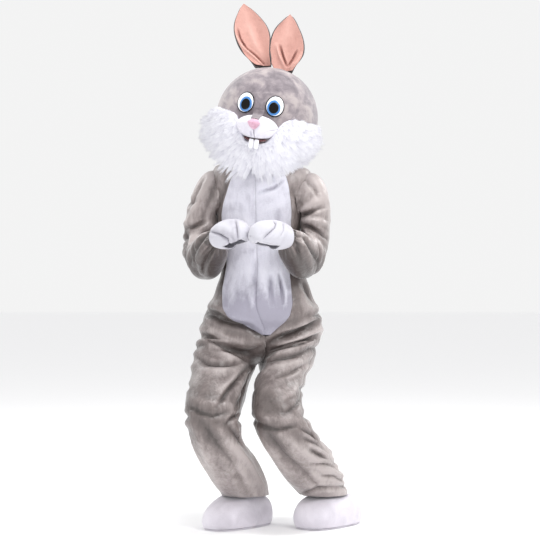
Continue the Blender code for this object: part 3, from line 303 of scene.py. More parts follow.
def trunk_ring(row, side):
    """Half a body section: front to side to back, then straight up the middle."""
    r = dict(zip(TRUNK_COLUMNS, row))
    centre, front, left = turned(r["x"], r["y"], r["turn"])
    half = r["half_left"] if side > 0 else r["half_right"]
    z_side = r["z_side_left"] if side > 0 else r["z_side_right"]
    sag = CROTCH_SAG if row == TRUNK[-1] else 0.0

    def ring(u):
        u = np.mod(u, 1.0)
        turn = np.clip((u - CENTRE_U) / (1 - 2 * CENTRE_U), 0.0, 1.0) * pi
        middle = np.where(u < 0.5, u, 1 - u) / CENTRE_U
        fold = np.clip(1 - middle, 0.0, 1.0) * pi / 2
        facing = np.cos(turn) * np.cos(fold)
        reach = np.where(facing > 0, r["front"], r["back"]) * facing
        lateral = side * (half * np.sin(turn) + SEAM * np.sin(fold))
        end = np.where(facing > 0, r["z_front"], r["z_back"])
        z = z_side + (end - z_side) * np.cos(turn) ** 2 - sag * np.sin(fold)
        flat = centre + reach[..., None] * front + lateral[..., None] * left
        return flat + z[..., None] * UP
    return ring


def leg_ring(row, side):
    """One section of a leg: inseam, front, outer side, back."""
    r = dict(zip(LEG_COLUMNS, row))
    centre, level_front, left = turned(r["x"], r["y"], r["heading"])
    centre[2] = r["z"]
    pitch, roll = radians(r["pitch"]), radians(r["roll"])
    front = level_front * cos(pitch) + UP * sin(pitch)
    across = side * left * cos(roll) + UP * abs(sin(roll))

    def ring(u):
        angle = 2 * pi * np.asarray(u)
        lateral = -np.cos(angle)
        forward = np.sin(angle)
        lateral = lateral * np.where(lateral > 0, r["outer"], r["inner"])
        forward = forward * np.where(forward > 0, r["front"], r["back"])
        return centre + lateral[..., None] * across + forward[..., None] * front
    return ring


def body_surface(name, side):
    """Trunk half and leg as one smooth surface; v counts the rows of both tables."""
    rings = [trunk_ring(row, side) for row in TRUNK]
    rings += [leg_ring(row, side) for row in LEGS[name]]
    smooth = loft(rings)
    crotch = dict(zip(TRUNK_COLUMNS, TRUNK[-1]))
    centre, _, left = turned(crotch["x"], crotch["y"], crotch["turn"])

    def own_side(u, v):
        """Just below the crotch the cloth keeps to its own side of the middle."""
        points = smooth(u, v)
        below = np.asarray(v) - CROTCH_ROW
        near = np.clip(INSEAM_ROWS - below, 0.0, 1.0) * (below > 0)
        beside = ((points - centre) @ left) * side
        gap = SEAM + INSEAM_GAP * np.clip(below, 0.0, 1.0)
        short = np.maximum(gap - beside, 0.0) * near
        return points + side * short[..., None] * left
    return own_side


HALVES = {name: body_surface(name, side) for name, side in SIDES}
SEAM_EASE = 0.03                  # how far from the centre seams the halves are eased together


def half_surface(name, u, v):
    """One half, eased to the other along the centre front and centre back."""
    own, other = HALVES[name], HALVES["left" if name == "right" else "right"]
    points = own(u, v)
    for seam in (CENTRE_U, 1 - CENTRE_U):
        at_seam = np.full(u.shape, seam)
        apart = other(at_seam, v) - own(at_seam, v)
        near = np.exp(-((u - seam) / SEAM_EASE) ** 2) * (v <= CROTCH_ROW)
        points = points + 0.5 * near[..., None] * apart
    return points


# ---------------------------------------------------------------- jumpsuit: how it creases
# Worn velour falls in soft troughs and ridges. Each is a line, given as it is seen from
# the front, back or side.
HALF_CREASES = {  # width, height (below 0 for a trough), then the line's places: across and up
    "right": {
        "front": (
            (16, -11, -196, 786, -168, 766, -126, 749),
            (13, -13, -178, 758, -140, 740, -91, 726, -46, 716, 0, 682),
            (14, 9, -203, 735, -161, 704, -112, 676, -56, 658, 0, 662),
            (12, -10, -206, 696, -168, 668, -126, 644, -84, 630, -42, 626),
            (12, 8, -196, 668, -147, 637, -98, 609, -56, 595),
            (8, -9, -168, 640, -119, 630, -77, 612, -49, 592),
            (10, -8, -231, 612, -189, 588, -133, 584, -66, 592),
            (11, 7, -224, 570, -175, 564, -112, 570, -56, 588),
            (9, -9, -42, 581, -77, 542, -116, 500, -158, 434),
            (10, 7, -42, 570, -70, 518, -91, 469), (11, 7, -63, 581, -105, 536, -154, 490),
            (9, -6, -56, 532, -66, 483, -91, 434),
            (9, -8, -256, 438, -217, 416, -175, 406, -119, 420),
            (13, 7, -259, 469, -206, 452, -140, 448, -91, 441),
            (8, -9, -74, 413, -102, 402, -126, 378),
            (15, 7, -248, 399, -224, 329, -186, 245, -140, 150),
            (17, -6, -217, 388, -168, 318, -105, 245, -56, 147),
            (12, 8, -168, 371, -105, 308, -42, 245, 14, 154),
            (10, -8, -116, 374, -66, 308, -18, 238), (16, 5, -133, 301, -91, 231, -42, 168),
            (9, -5, -168, 847, -182, 812, -196, 791), (9, 5, -154, 896, -161, 854, -178, 819),
            (8, -4, -116, 1236, -140, 1176, -158, 1113),
            (8, 4, -136, 1246, -161, 1190, -182, 1127),
        ),
        "back": (
            (16, -6, -150, 1240, -120, 1170, -105, 1090), (20, 6, -60, 1120, -85, 1040, -80, 950),
            (14, -8, -190, 860, -120, 845, -40, 850), (16, 7, -205, 800, -130, 780, -30, 800),
            (14, -9, -40, 690, -100, 650, -190, 640), (14, 8, -30, 640, -110, 600, -210, 600),
            (12, -8, -60, 560, -130, 530, -220, 545), (12, 8, -75, 470, -150, 450, -230, 460),
            (10, -10, -70, 430, -140, 412, -225, 420), (11, 8, -80, 385, -150, 370, -215, 385),
            (10, -8, -60, 340, -120, 320, -190, 345), (16, 7, -150, 300, -110, 230, -70, 160),
            (14, -6, -80, 300, -50, 230, -20, 160),
        ),
        "outer": (
            (14, -10, 60, 790, 20, 770, -60, 760), (16, 9, 120, 730, 30, 712, -70, 700),
            (14, -9, 110, 660, 10, 640, -90, 660), (13, 8, 60, 600, -30, 575, -110, 590),
            (12, -8, 0, 520, -70, 500, -170, 520), (11, -8, -100, 440, -160, 425, -250, 420),
            (11, 7, -110, 405, -180, 395, -260, 400), (10, -8, -90, 350, -150, 330, -210, 350),
            (16, 6, -230, 350, -170, 250, -90, 160), (14, -6, -130, 300, -80, 220, -30, 150),
        ),
        "inner": (
            (12, 8, 0, 540, -70, 490, -150, 450), (10, -8, -40, 560, -110, 520, -180, 500),
            (10, -8, -120, 430, -170, 415, -240, 410), (14, 7, -120, 350, -90, 250, -30, 160),
        ),
    },
    "left": {
        "front": (
            (13, -13, 210, 749, 164, 721, 119, 700, 70, 682, 28, 662),
            (12, 9, 220, 756, 168, 738, 122, 718, 84, 704),
            (13, 9, 203, 718, 154, 690, 105, 668, 49, 654),
            (10, -9, 196, 696, 147, 668, 91, 651, 35, 637),
            (9, 8, 186, 658, 133, 648, 77, 634, 21, 606),
            (9, -8, 168, 634, 112, 616, 49, 609, 0, 595), (8, -8, 0, 630, -14, 606, -24, 588),
            (10, 7, 0, 564, 49, 581, 105, 588, 168, 609), (9, -6, 49, 542, 105, 560, 154, 588),
            (10, 6, 56, 455, 105, 483, 147, 532), (9, -7, 77, 413, 122, 444, 147, 486),
            (14, 5, 7, 504, 56, 490, 119, 504), (9, -8, -32, 388, 4, 368, 52, 357, 122, 371),
            (14, 7, -35, 420, 14, 399, 77, 392, 133, 399),
            (16, 8, -24, 354, 21, 284, 77, 203, 133, 136),
            (16, -6, 21, 343, 77, 270, 154, 203, 210, 140),
            (13, 7, 49, 357, 126, 298, 210, 231, 280, 168), (7, -8, 133, 364, 172, 343, 196, 322),
            (8, -8, 144, 329, 192, 308, 224, 280), (8, -8, 164, 287, 210, 266, 245, 248),
            (8, -9, 175, 238, 228, 238, 270, 224), (8, -9, 210, 196, 252, 196, 290, 175),
            (8, 7, 175, 308, 210, 290, 238, 262), (8, 7, 196, 252, 238, 248, 266, 238),
            (8, -6, 133, 133, 210, 154, 287, 158), (10, -6, 144, 868, 168, 826, 196, 780),
            (8, 6, 161, 872, 182, 840, 200, 805), (12, 6, 119, 868, 144, 816, 172, 766),
            (8, -4, 105, 1208, 119, 1162, 130, 1113),
        ),
        "back": (
            (16, -6, 150, 1230, 125, 1160, 110, 1080), (20, 6, 70, 1130, 95, 1040, 85, 960),
            (14, -8, 190, 850, 120, 838, 40, 852), (16, 7, 205, 790, 130, 775, 30, 795),
            (14, -9, 40, 690, 110, 650, 190, 650), (14, 8, 20, 630, 90, 600, 180, 610),
            (12, -8, 10, 560, 80, 530, 140, 550), (12, 8, -10, 470, 60, 452, 140, 470),
            (10, -10, -10, 428, 70, 410, 150, 430), (11, 8, 0, 385, 80, 366, 170, 390),
            (10, -8, 30, 335, 110, 320, 190, 345), (16, 7, 90, 300, 150, 230, 200, 160),
            (14, -6, 150, 310, 210, 240, 260, 170),
        ),
        "outer": (
            (14, -10, 60, 780, 10, 762, -70, 756), (16, 9, 120, 726, 30, 706, -70, 700),
            (14, -9, 110, 656, 10, 636, -90, 650), (13, 8, 60, 600, -30, 575, -110, 590),
            (12, -8, -10, 520, -70, 500, -160, 515), (11, -8, -100, 440, -160, 425, -240, 425),
            (11, 7, -110, 405, -170, 395, -250, 400), (10, -8, -90, 350, -140, 330, -200, 350),
            (10, 8, -60, 305, -110, 290, -170, 310), (10, -8, -30, 260, -90, 250, -140, 262),
            (10, 8, 0, 210, -60, 200, -110, 215), (9, -7, 30, 170, -30, 162, -80, 172),
        ),
        "inner": (
            (12, 8, 0, 540, -60, 490, -140, 450), (10, -8, -40, 560, -100, 520, -170, 500),
            (10, -8, -110, 430, -160, 415, -230, 410), (14, 7, -120, 350, -80, 250, -10, 160),
        ),
    },
}


def seen_from(view, points, out):
    """Where points appear in a view, and how squarely the cloth faces it.

    From the front, lines are laid as the viewer sees them on the upright plane through y = 0."""
    if view == "front":
        viewer = np.array(VIEWER) / METRE + ORIGIN
        closer = -viewer[1] / (points[..., 1] - viewer[1])
        x = viewer[0] + (points[..., 0] - viewer[0]) * closer
        z = viewer[2] + (points[..., 2] - viewer[2]) * closer
        return np.stack((x, z), axis=-1), -out[..., 1]
    if view == "back":
        return points[..., [0, 2]], out[..., 1]
    return points[..., [1, 2]], out[..., 0] * (1 if view == "left" else -1)


def away_from(line, flat):
    """Distance from a line of straight runs, and how far along it the nearest place is."""
    line = line.astype(float)
    runs = np.diff(line, axis=0)
    lengths = np.linalg.norm(runs, axis=1)
    before = np.concatenate(([0.0], np.cumsum(lengths)))
    best = np.full(flat.shape[:-1], 1e9)
    share = np.zeros(flat.shape[:-1])
    for start, run, length, gone in zip(line, runs, lengths, before):
        along = np.clip(((flat - start) @ run) / length ** 2, 0.0, 1.0)
        apart = np.linalg.norm(flat - start - along[..., None] * run, axis=-1)
        closer = apart < best
        best = np.where(closer, apart, best)
        share = np.where(closer, (gone + along * length) / before[-1], share)
    return best, share


DEEPEN = 1.15                     # how much deeper velour folds than the lines' heights say
TROUGH = (0.72, 1.3, 1.1)         # a trough is pulled tight: its share of width, height, falloff
RIDGE = (1.0, 0.8, 1.5)           # a ridge stays low and round
SHOULDERS = (0.28, 2.1)           # the cloth beside a fold gives way: how much, and how far off
FACING_FROM, FACING_OVER = 0.05, 0.45  # cloth takes a view's lines as it turns to face it
LINE_ENDS = (0.06, 0.88, 0.7)     # a fold tapers off at both ends: start, run and power of a sine


def creased(points, out, views):
    """Push the cloth along its outward directions; also returns the push, for the finish."""
    push = np.zeros(points.shape[:-1])
    for view, lines in views:
        flat, facing = seen_from(view, points, out)
        square = np.clip((facing - FACING_FROM) / FACING_OVER, 0.0, 1.0)
        square = square * square * (3 - 2 * square) * DEEPEN
        for width, height, *places in lines:
            apart, share = away_from(np.reshape(places, (-1, 2)), flat)
            narrow, deep, sharp = TROUGH if height < 0 else RIDGE
            width, height = width * narrow, height * deep
            profile = np.exp(-(apart / width) ** sharp)
            give, off = SHOULDERS
            profile = profile - give * np.exp(-((apart - off * width) / width) ** 2)
            first, run, power = LINE_ENDS
            taper = np.sin(pi * (first + run * share)) ** power
            push = push + height * profile * taper * square
    return points + out * push[..., None], push


# Painted light and shade on the pile: lighter where it faces up and towards +X, the key lamp's
# side, and by height as the tables give, with painted shade at the waist under the arms, round the
# knees and at the elbows, and painted light at the shoulders and upper sleeves.
TRUNK_PAINTED_LIGHT = ((300, 0.0), (390, -0.7), (480, -0.7), (560, 0.0), (800, -0.1), (850, -0.9),
             (960, -0.9), (1080, 0.0), (1240, 0.4))
SLEEVE_PAINTED_LIGHT = ((930, -0.8), (1020, -0.1), (1120, 0.55), (1240, 0.7))


def painted_light_by_facing(points, out, heights, upward=0.4, sideways=0.35):
    table = np.array(heights)
    scuffs_and_shade = np.interp(points[..., 2], table[:, 0], table[:, 1])
    return upward * out[..., 2] + sideways * out[..., 0] + scuffs_and_shade


# ---------------------------------------------------------------- jumpsuit: cut and sewn
# Four panels of grey crushed velour and two of white velour for the belly, joined at the side
# seams, inseams and centre seams. The seam allowances pull the cloth in along every edge.
TURN_IN = 1.5                     # mm that a seam sinks below the cloth beside it
# the change of tone is painted shade in a fold's trough and painted light on its ridge
FOLD_DEPTH = 9.0                  # a fold this deep, in mm, has its full change of tone


def velour(name, shade, middle, light, sheen, roughness=0.5, streaks=1.0, painted_height_shading=None):
    """Short satin pile: streaks along the garment, brushed patches, and folds painted darker in
    their troughs and lighter on their ridges.

    The pile's tone can also be shifted by height as painted light and shade: two heights and how
    much the tone changes from the first to the second."""
    made = Finish(name, Sheen_Weight=sheen, Sheen_Roughness=0.3, Specular_IOR_Level=0.6)
    where = made.place()
    along = made.place((1.0, 1.0, 0.28))
    streak = made.cloud(0.016, along, detail=4.0, distortion=0.6)
    patch = made.cloud(0.085, where, detail=3.0, distortion=1.2)
    pile = made.cloud(0.0035, where, detail=2.0)
    # painted light: crease troughs are painted darker and ridges lighter from the fold attribute,
    # which also carries the suit's painted facing and height shading
    fold = made.attribute("fold")
    tone = (streak - 0.5) * (0.55 * streaks) + (patch - 0.5) * 0.50 + (pile - 0.5) * 0.22
    tone = tone + fold * 0.38 + 0.5
    # painted light and shade by height: the grey suit lighter down the shins, the white belly
    # darker towards the crotch
    if painted_height_shading:
        height = made.node("SeparateXYZ", {0: made.node("TexCoord", out="Object")}, out=2)
        tone = tone + made.node("MapRange", {"Value": height, "From Min": painted_height_shading[0],
                                             "From Max": painted_height_shading[1], "To Min": 0.0,
                                             "To Max": painted_height_shading[2]})
    colour = made.node("ValToRGB", {"Fac": tone},
                       stops=((0.08, shade), (0.50, middle), (0.92, light)))
    fine = made.bump(pile, 0.0008, 0.45)
    wrinkle = made.cloud(0.030, where, detail=2.0, distortion=0.9)
    crush = made.cloud(0.011, where, detail=2.0, distortion=1.4)
    combed = made.bump(made.cloud(0.0055, made.place((1.0, 1.0, 0.14)), detail=2.0), 0.0014,
                       0.5 * streaks, fine)
    crumpled = made.bump(crush, 0.0022, 0.6 * streaks, combed)
    made.set(Base_Color=colour, Roughness=(patch - 0.5) * 0.3 + roughness,
             Normal=made.bump(wrinkle, 0.0045, 0.5 * streaks, crumpled))
    return made.material


# the grey velour is painted lighter below the knees and the white velour darker low on the belly,
# as painted light and shade
grey_velour = velour("grey_velour_pile", (70, 62, 60), (114, 104, 102), (172, 162, 160),
                     sheen=0.4, roughness=0.34, painted_height_shading=(-0.74, -1.02, 0.34))
white_velour = velour("white_velour_pile", (152, 149, 163), (214, 213, 224), (236, 235, 243),
                      sheen=0.2, roughness=0.55, streaks=0.7, painted_height_shading=(-0.36, -0.50, -0.55))


def grid_out(points, facing, ring=False):
    """Outward directions of a grid of points, from its neighbours along rows and columns."""
    if ring:
        across = np.roll(points, -1, axis=1) - np.roll(points, 1, axis=1)
    else:
        across = np.gradient(points, axis=1)
    down = np.gradient(points, axis=0)
    return unit(np.cross(across, down)) * facing


def new_piece(name, places, faces, attributes):
    """A piece from its table points and faces, with the values that its finish reads."""
    mesh = bpy.data.meshes.new(name)
    mesh.from_pydata(((places - ORIGIN) * METRE).tolist(), [], faces)
    for label, values in attributes.items():
        stored = mesh.attributes.new(label, "FLOAT", "POINT")
        stored.data.foreach_set("value", values.astype(np.float32))
    made = bpy.data.objects.new(name, mesh)
    bpy.context.scene.collection.objects.link(made)
    return made


def cloth_mesh(name, points, cells, flip, fold):
    """A sheet of square cells over a grid of points; its columns close round where cells do."""
    rows, columns = points.shape[:2]
    i, j = np.nonzero(cells)
    beyond = (j + 1) % columns
    corners = np.stack((i * columns + j, i * columns + beyond,
                        (i + 1) * columns + beyond, (i + 1) * columns + j), axis=1)
    if flip:
        corners = corners[:, ::-1]
    used = np.unique(corners)
    fresh = np.full(rows * columns, -1)
    fresh[used] = np.arange(len(used))
    return new_piece(name, points.reshape(-1, 3)[used], fresh[corners].tolist(),
                     {"fold": fold.reshape(-1)[used]})


def apply_modifier(piece, kind, **settings):
    added = piece.modifiers.new(kind.lower(), kind)
    for key, value in settings.items():
        setattr(added, key, value)
    bpy.context.view_layer.objects.active = piece
    bpy.ops.object.modifier_apply(modifier=added.name)


def fit(piece, node, material):
    """Give a piece its finish and hang it in the place of its CAD node."""
    piece.data.materials.append(material)
    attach(piece, "root")
    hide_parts(node)
    return piece


def measured(piece):
    """The area of a piece's faces, and its reach along each axis."""
    corners = np.array([vertex.co for vertex in piece.data.vertices])
    return sum(face.area for face in piece.data.polygons), np.ptp(corners, axis=0).tolist()


def sew(piece, node, material):
    """Give a sheet its thickness and smooth shading, then its finish and its place."""
    apply_modifier(piece, "SOLIDIFY", thickness=CLOTH, offset=-1.0)
    piece.data.shade_smooth()
    fit(piece, node, material)


def seam_pull(edges, reach=7.0):
    """How far each point sinks near a seam, from its distance to the seam."""
    return -TURN_IN * np.exp(-(edges / reach) ** 2)


def edge_distance(points):
    """Distance of each grid point from the first and last column, in mm."""
    steps = np.linalg.norm(np.diff(points, axis=1), axis=-1)
    run = np.concatenate((np.zeros((len(points), 1)), np.cumsum(steps, axis=1)), axis=1)
    return np.minimum(run, run[:, -1:] - run)


# height, right edge, left edge of the belly panel
BIB = (
    (1290, -72, 58), (1262, -90, 72), (1234, -108, 86), (1202, -119, 94), (1150, -136, 101),
    (1110, -143, 104), (1000, -133, 99), (944, -124, 96), (900, -131, 98), (848, -140, 103),
    (804, -139, 107), (781, -134, 103), (759, -122, 97), (740, -100, 84), (725, -70, 66),
    (708, -30, 46), (697, -6, 33), (690, 3, 26), (684, 4, 18), (677, 4, 9), (671, 4, 4),
)
BIB_TIP_ROW = 14.65
BIB_REACH, BIB_STEPS = 0.46, 160   # furthest ring turn its edge is looked for, and in how many
BIB_PROUD = 0.4                   # how far the belly panel stands out past the seam
BODY_ROWS = np.concatenate((np.linspace(0, CROTCH_ROW, 136),
                            np.linspace(CROTCH_ROW, HEM_ROW, 112)[1:]))
INNER_COLUMNS, OUTER_COLUMNS, BIB_COLUMNS = 12, 46, 26
ARMHOLES = {  # z is its middle's height, high and deep its half sizes, out how far out it lies
    "right": {"z": 1189.0, "high": 79.0, "deep": 64.0, "out": 168.0},
    "left": {"z": 1178.0, "high": 77.0, "deep": 64.0, "out": 162.0},
}
ARMHOLE_FORWARD = 2.0
ARMHOLE_EDGE, ARMHOLE_CUT = 0.055, 0.02   # shares of the armhole's size
SHOULDER_X, SHOULDER_Y, SHOULDER_TURN = 2.0, 12.0, 12.0
BIB_CREASES = (
    (9, 5, -36, 840, -34, 800, -38, 765), (8, -5, 32, 900, 30, 850, 34, 800),
    (6, -8, 60, 905, 70, 850, 74, 800), (7, 5, 76, 890, 82, 840, 80, 790),
    (10, 4, -90, 900, -100, 850, -98, 800), (7, -6, -12, 1187, 14, 1196, 42, 1204, 71, 1230),
    (10, 4, -30, 1170, 10, 1178, 50, 1190), (14, 4, -60, 1120, -50, 1060, -56, 1000),
    (14, -4, 60, 1130, 54, 1060, 50, 1000), (12, -4, -20, 960, -26, 900, -22, 850),
    (12, 4, 8, 940, 6, 880, 10, 820),
)


def armhole_frame(name, side):
    """Middle of the armhole's axis, its front and its outward direction."""
    centre, front, left = turned(SHOULDER_X, SHOULDER_Y, SHOULDER_TURN)
    centre = centre + front * ARMHOLE_FORWARD
    centre[2] = ARMHOLES[name]["z"]
    return centre, front, left * side


def open_armhole(name, side, points, cells):
    """Draw the cloth to the armhole's edge and take out the cells inside it."""
    centre, front, outward = armhole_frame(name, side)
    hole = ARMHOLES[name]
    beside = points - centre
    up, ahead = beside[..., 2] / hole["high"], (beside @ front) / hole["deep"]
    out = beside @ outward
    round_hole = np.hypot(up, ahead)
    near = (np.abs(round_hole - 1) < ARMHOLE_EDGE) & (out > 0)
    pull = np.where(near, 1 / np.maximum(round_hole, 1e-6) - 1, 0.0)
    shift = (pull * up * hole["high"])[..., None] * UP
    shift = shift + (pull * ahead * hole["deep"])[..., None] * front
    moved = points + shift
    inside = (round_hole < 1 + ARMHOLE_CUT) & (out > 0)
    whole = inside[:-1, :-1] & inside[1:, :-1] & inside[1:, 1:] & inside[:-1, 1:]
    return moved, cells & ~whole


def bib_edge(name, side, rows):
    """Ring turn of the belly panel's edge on each row, from its half width there."""
    table = np.array(BIB, float)[::-1]
    edge_x = table[:, 1] if side < 0 else table[:, 2]
    turns = np.linspace(CENTRE_U, BIB_REACH, BIB_STEPS)
    u, v = np.meshgrid(turns, rows)
    points = half_surface(name, u, v)
    wanted = np.interp(points[..., 2], table[:, 0], edge_x)
    short = (points[..., 0] - wanted) * side < 0
    return np.array([turns[np.nonzero(row)[0][-1]] if row.any() else turns[1] for row in short])


def smooth_along(values, times=3):
    """Ease the steps out of a run of values, ends kept."""
    for _ in range(times):
        values = values.copy()
        values[1:-1] = (values[:-2] + 2 * values[1:-1] + values[2:]) / 4
    return values


def body_panels(name, side):
    """The front, the back and the half belly panel of one side of the suit."""
    edge = smooth_along(bib_edge(name, side, BODY_ROWS[BODY_ROWS <= BIB_TIP_ROW]))
    above = BODY_ROWS < CROTCH_ROW - 0.01
    centre = np.full(len(BODY_ROWS), CENTRE_U)
    start = centre.copy()
    start[:len(edge)] = edge
    inner = np.linspace(0, CENTRE_U, INNER_COLUMNS + 1)[:-1]
    share = np.linspace(0, 1, OUTER_COLUMNS)[None, :]
    creases = HALF_CREASES[name]
    outer_view, inner_view = ("right", "left") if side < 0 else ("left", "right")
    views = (("front", creases["front"]), ("back", creases["back"]),
             (outer_view, creases["outer"]), (inner_view, creases["inner"]))
    for panel, first in (("front", start), ("back", centre)):
        u = np.hstack((np.repeat(inner[None, :], len(BODY_ROWS), axis=0),
                       first[:, None] + (0.5 - first[:, None]) * share))
        u = np.where(above[:, None], np.maximum(u, first[:, None]), u)
        v = np.repeat(BODY_ROWS[:, None], u.shape[1], axis=1)
        cells = np.ones((len(BODY_ROWS) - 1, u.shape[1] - 1), bool)
        cells[above[:-1], :INNER_COLUMNS] = False
        at = u if panel == "front" else 1 - u
        points = half_surface(name, at, v)
        facing = -side if panel == "front" else side
        # the repeated points above the crotch take their directions from the first real column
        real = points[:, INNER_COLUMNS:]
        out = grid_out(points, facing)
        out[above, :INNER_COLUMNS + 1] = grid_out(real, facing)[above, :1]
        pull = np.zeros(points.shape[:-1])
        pull[:, INNER_COLUMNS:] = seam_pull(edge_distance(real))
        points, push = creased(points, out, views)
        points = points + out * pull[..., None]
        points, cells = open_armhole(name, side, points, cells)
        # the fold values carry painted light: crease troughs darker, ridges lighter, plus the
        # facing and height shading
        piece = cloth_mesh(f"suit_{panel}_{name}", points, cells, facing < 0,
                           push / FOLD_DEPTH + painted_light_by_facing(points, out, TRUNK_PAINTED_LIGHT))
        sew(piece, f"{panel}_{name}", grey_velour)
    rows = BODY_ROWS[BODY_ROWS <= BIB_TIP_ROW]
    share = np.linspace(0, 1, BIB_COLUMNS)[None, :]
    u = CENTRE_U + (edge[:, None] - CENTRE_U) * share
    v = np.repeat(rows[:, None], BIB_COLUMNS, axis=1)
    points = half_surface(name, u, v)
    out = grid_out(points, -side)
    pull = seam_pull(edge_distance(points))
    points, push = creased(points, out, (("front", BIB_CREASES + creases["front"][:3]),))
    points = points + out * (pull + BIB_PROUD)[..., None]
    cells = np.ones((len(rows) - 1, BIB_COLUMNS - 1), bool)
    piece = cloth_mesh(f"belly_{name}", points, cells, side > 0, push / FOLD_DEPTH)
    sew(piece, f"bib_{name}", white_velour)


for half_name, half_side in SIDES:
    body_panels(half_name, half_side)

# ---------------------------------------------------------------- sleeves
# Each sleeve is one bent tube of the same velour, eased into its armhole and gathered into an
# elastic cuff that sits inside the mitt.
SLEEVE_PATHS = {  # corners after the armhole, with the radius of each bend
    "right": (((-207, 55, 1124), 58), ((-224, 46, 925), 82), ((-157, -178, 1020), 0)),
    "left": (((187, -26, 1138), 36), ((184, -34, 924), 82), ((88, -226, 1022), 0)),
}
SLEEVES = {  # share of the path from armhole to cuff, and the section's side, front, back reach
    "right": (
        (0.00, 72, 64, 64), (0.10, 62, 68, 68), (0.22, 59, 74, 72), (0.36, 62, 74, 76),
        (0.52, 63, 72, 82), (0.64, 62, 68, 84), (0.76, 62, 62, 76), (0.88, 60, 56, 64),
        (0.95, 50, 46, 50), (1.00, 37, 36, 37),
    ),
    "left": (
        (0.00, 72, 64, 64), (0.10, 54, 70, 68), (0.22, 51, 74, 70), (0.36, 49, 74, 74),
        (0.52, 49, 72, 82), (0.64, 50, 68, 84), (0.76, 54, 62, 76), (0.88, 55, 56, 64),
        (0.95, 48, 46, 50), (1.00, 37, 36, 37),
    ),
}
SLEEVE_BENDS = 14                 # sections along a sleeve
SLEEVE_SEAT = 4.0                 # how far the sleeve starts inside the body, and turns out of it
SLEEVE_ROWS, SLEEVE_COLUMNS = 120, 96
BEND_POINTS, RIM_POINTS = 24, 49  # along each bend of the path, and round the armhole
ARM_TURNS, ARM_ROWS, ARM_SAMPLES = (0.2, 0.8), (0.5, 7.5), 160  # the body's skin round it
GATHERS, GATHERS_FROM, GATHERS_DEPTH = 6, 0.86, 0.09  # deep ones by the cuff, as shares
CUFF_GATHERS, CUFF_DEPTH = 17, 1.8                    # fine ones, and their depth in mm
EASE_PUCKERS, EASE_DEPTH = 22, 0.8                    # where the sleeve's top is eased in
CUFF_TURN = ((4, 0.97), (9, 0.90), (16, 0.80), (24, 0.72), (32, 0.68))  # onward, how far closed
SLEEVE_CREASES = {
    "right": (
        (13, 7, -168, 1270, -196, 1218, -228, 1155, -262, 1085),
        (10, -5, -147, 1253, -172, 1197, -192, 1134, -210, 1085),
        (8, 5, -126, 1239, -150, 1183, -164, 1127), (9, -5, -200, 1246, -228, 1183, -259, 1120),
        (11, 8, -189, 1078, -220, 1054, -252, 1015, -270, 966),
        (9, -8, -175, 1057, -203, 1036, -231, 998, -252, 945),
        (10, 7, -168, 1029, -196, 1004, -220, 962, -234, 917),
        (10, -6, -276, 1071, -262, 1022, -266, 973),
        (8, -6, -161, 1001, -186, 970, -203, 931, -206, 892),
        (8, -7, -200, 1085, -231, 1071, -266, 1064),
    ),
    "left": (
        (10, 9, 98, 1106, 140, 1130, 182, 1155, 224, 1172),
        (8, -8, 108, 1096, 150, 1113, 192, 1130, 228, 1141),
        (9, 8, 119, 1088, 161, 1092, 200, 1088, 231, 1074),
        (8, -8, 130, 1078, 168, 1068, 203, 1050, 231, 1022),
        (10, 8, 133, 1064, 164, 1040, 196, 1004, 224, 962),
        (8, -8, 144, 1036, 164, 1001, 189, 962, 206, 924),
        (8, 6, 150, 1012, 161, 973, 172, 931, 175, 896),
        (7, -7, 52, 1102, 84, 1102, 116, 1088, 140, 1060, 158, 1026),
        (9, -5, 126, 1050, 122, 1001, 136, 945), (9, -5, 144, 1239, 175, 1211, 206, 1172),
        (9, 5, 164, 1253, 196, 1225, 224, 1186),
    ),
}
SLEEVE_SIDE_CREASES = (
    (12, -6, 90, 1180, 30, 1150, -30, 1160), (12, 7, 110, 1110, 50, 1080, -20, 1090),
    (11, -8, 120, 1030, 60, 1010, 0, 1030), (11, 8, 110, 960, 50, 960, 0, 990),
    (10, -8, 60, 905, 10, 930, -30, 975), (10, 7, 0, 880, -50, 920, -80, 980),
    (9, -6, -60, 900, -110, 940, -130, 1010),
)


def rounded_path(corners, bends, count):
    """Points and directions along straight runs joined by arcs, evenly spaced."""
    pieces = [np.array([corners[0]], float)]
    for before, corner, after, bend in zip(corners, corners[1:], corners[2:], bends):
        into = unit(corner - before)
        away = unit(after - corner)
        half = acos(np.clip(into @ away, -1, 1)) / 2
        reach = bend * tan(half)
        middle = corner + unit(away - into) * bend / cos(half)
        start = corner - into * reach - middle
        across = into * bend
        angles = np.linspace(0, 2 * half, BEND_POINTS)[:, None]
        pieces.append(middle + start * np.cos(angles) + across * np.sin(angles))
    pieces.append(np.array([corners[-1]], float))
    points = np.vstack(pieces)
    steps = np.linalg.norm(np.diff(points, axis=0), axis=1)
    length = np.concatenate(([0.0], np.cumsum(steps)))
    wanted = np.linspace(0, length[-1], count)
    path = np.stack([np.interp(wanted, length, points[:, axis]) for axis in range(3)], axis=1)
    return path, unit(np.gradient(path, axis=0))


def carried_frames(directions, first):
    """Side directions carried along a path without twist."""
    sides = [unit(first - directions[0] * (first @ directions[0]))]
    for before, here in zip(directions, directions[1:]):
        turn = Vector(before).rotation_difference(Vector(here))
        moved = np.array(turn @ Vector(sides[-1]))
        sides.append(unit(moved - here * (moved @ here)))
    return np.array(sides)


def oval_ring(centre, across, front, side_reach, front_reach, back_reach, waves=0.0):
    """A section given by its reach to the side, front and back."""
    def ring(u):
        angle = 2 * pi * np.asarray(u)
        pucker = 1 + waves * np.cos(GATHERS * angle)
        forward = np.sin(angle)
        forward = forward * np.where(forward > 0, front_reach, back_reach) * pucker
        lateral = np.cos(angle) * side_reach * pucker
        return centre + lateral[..., None] * across + forward[..., None] * front
    return ring


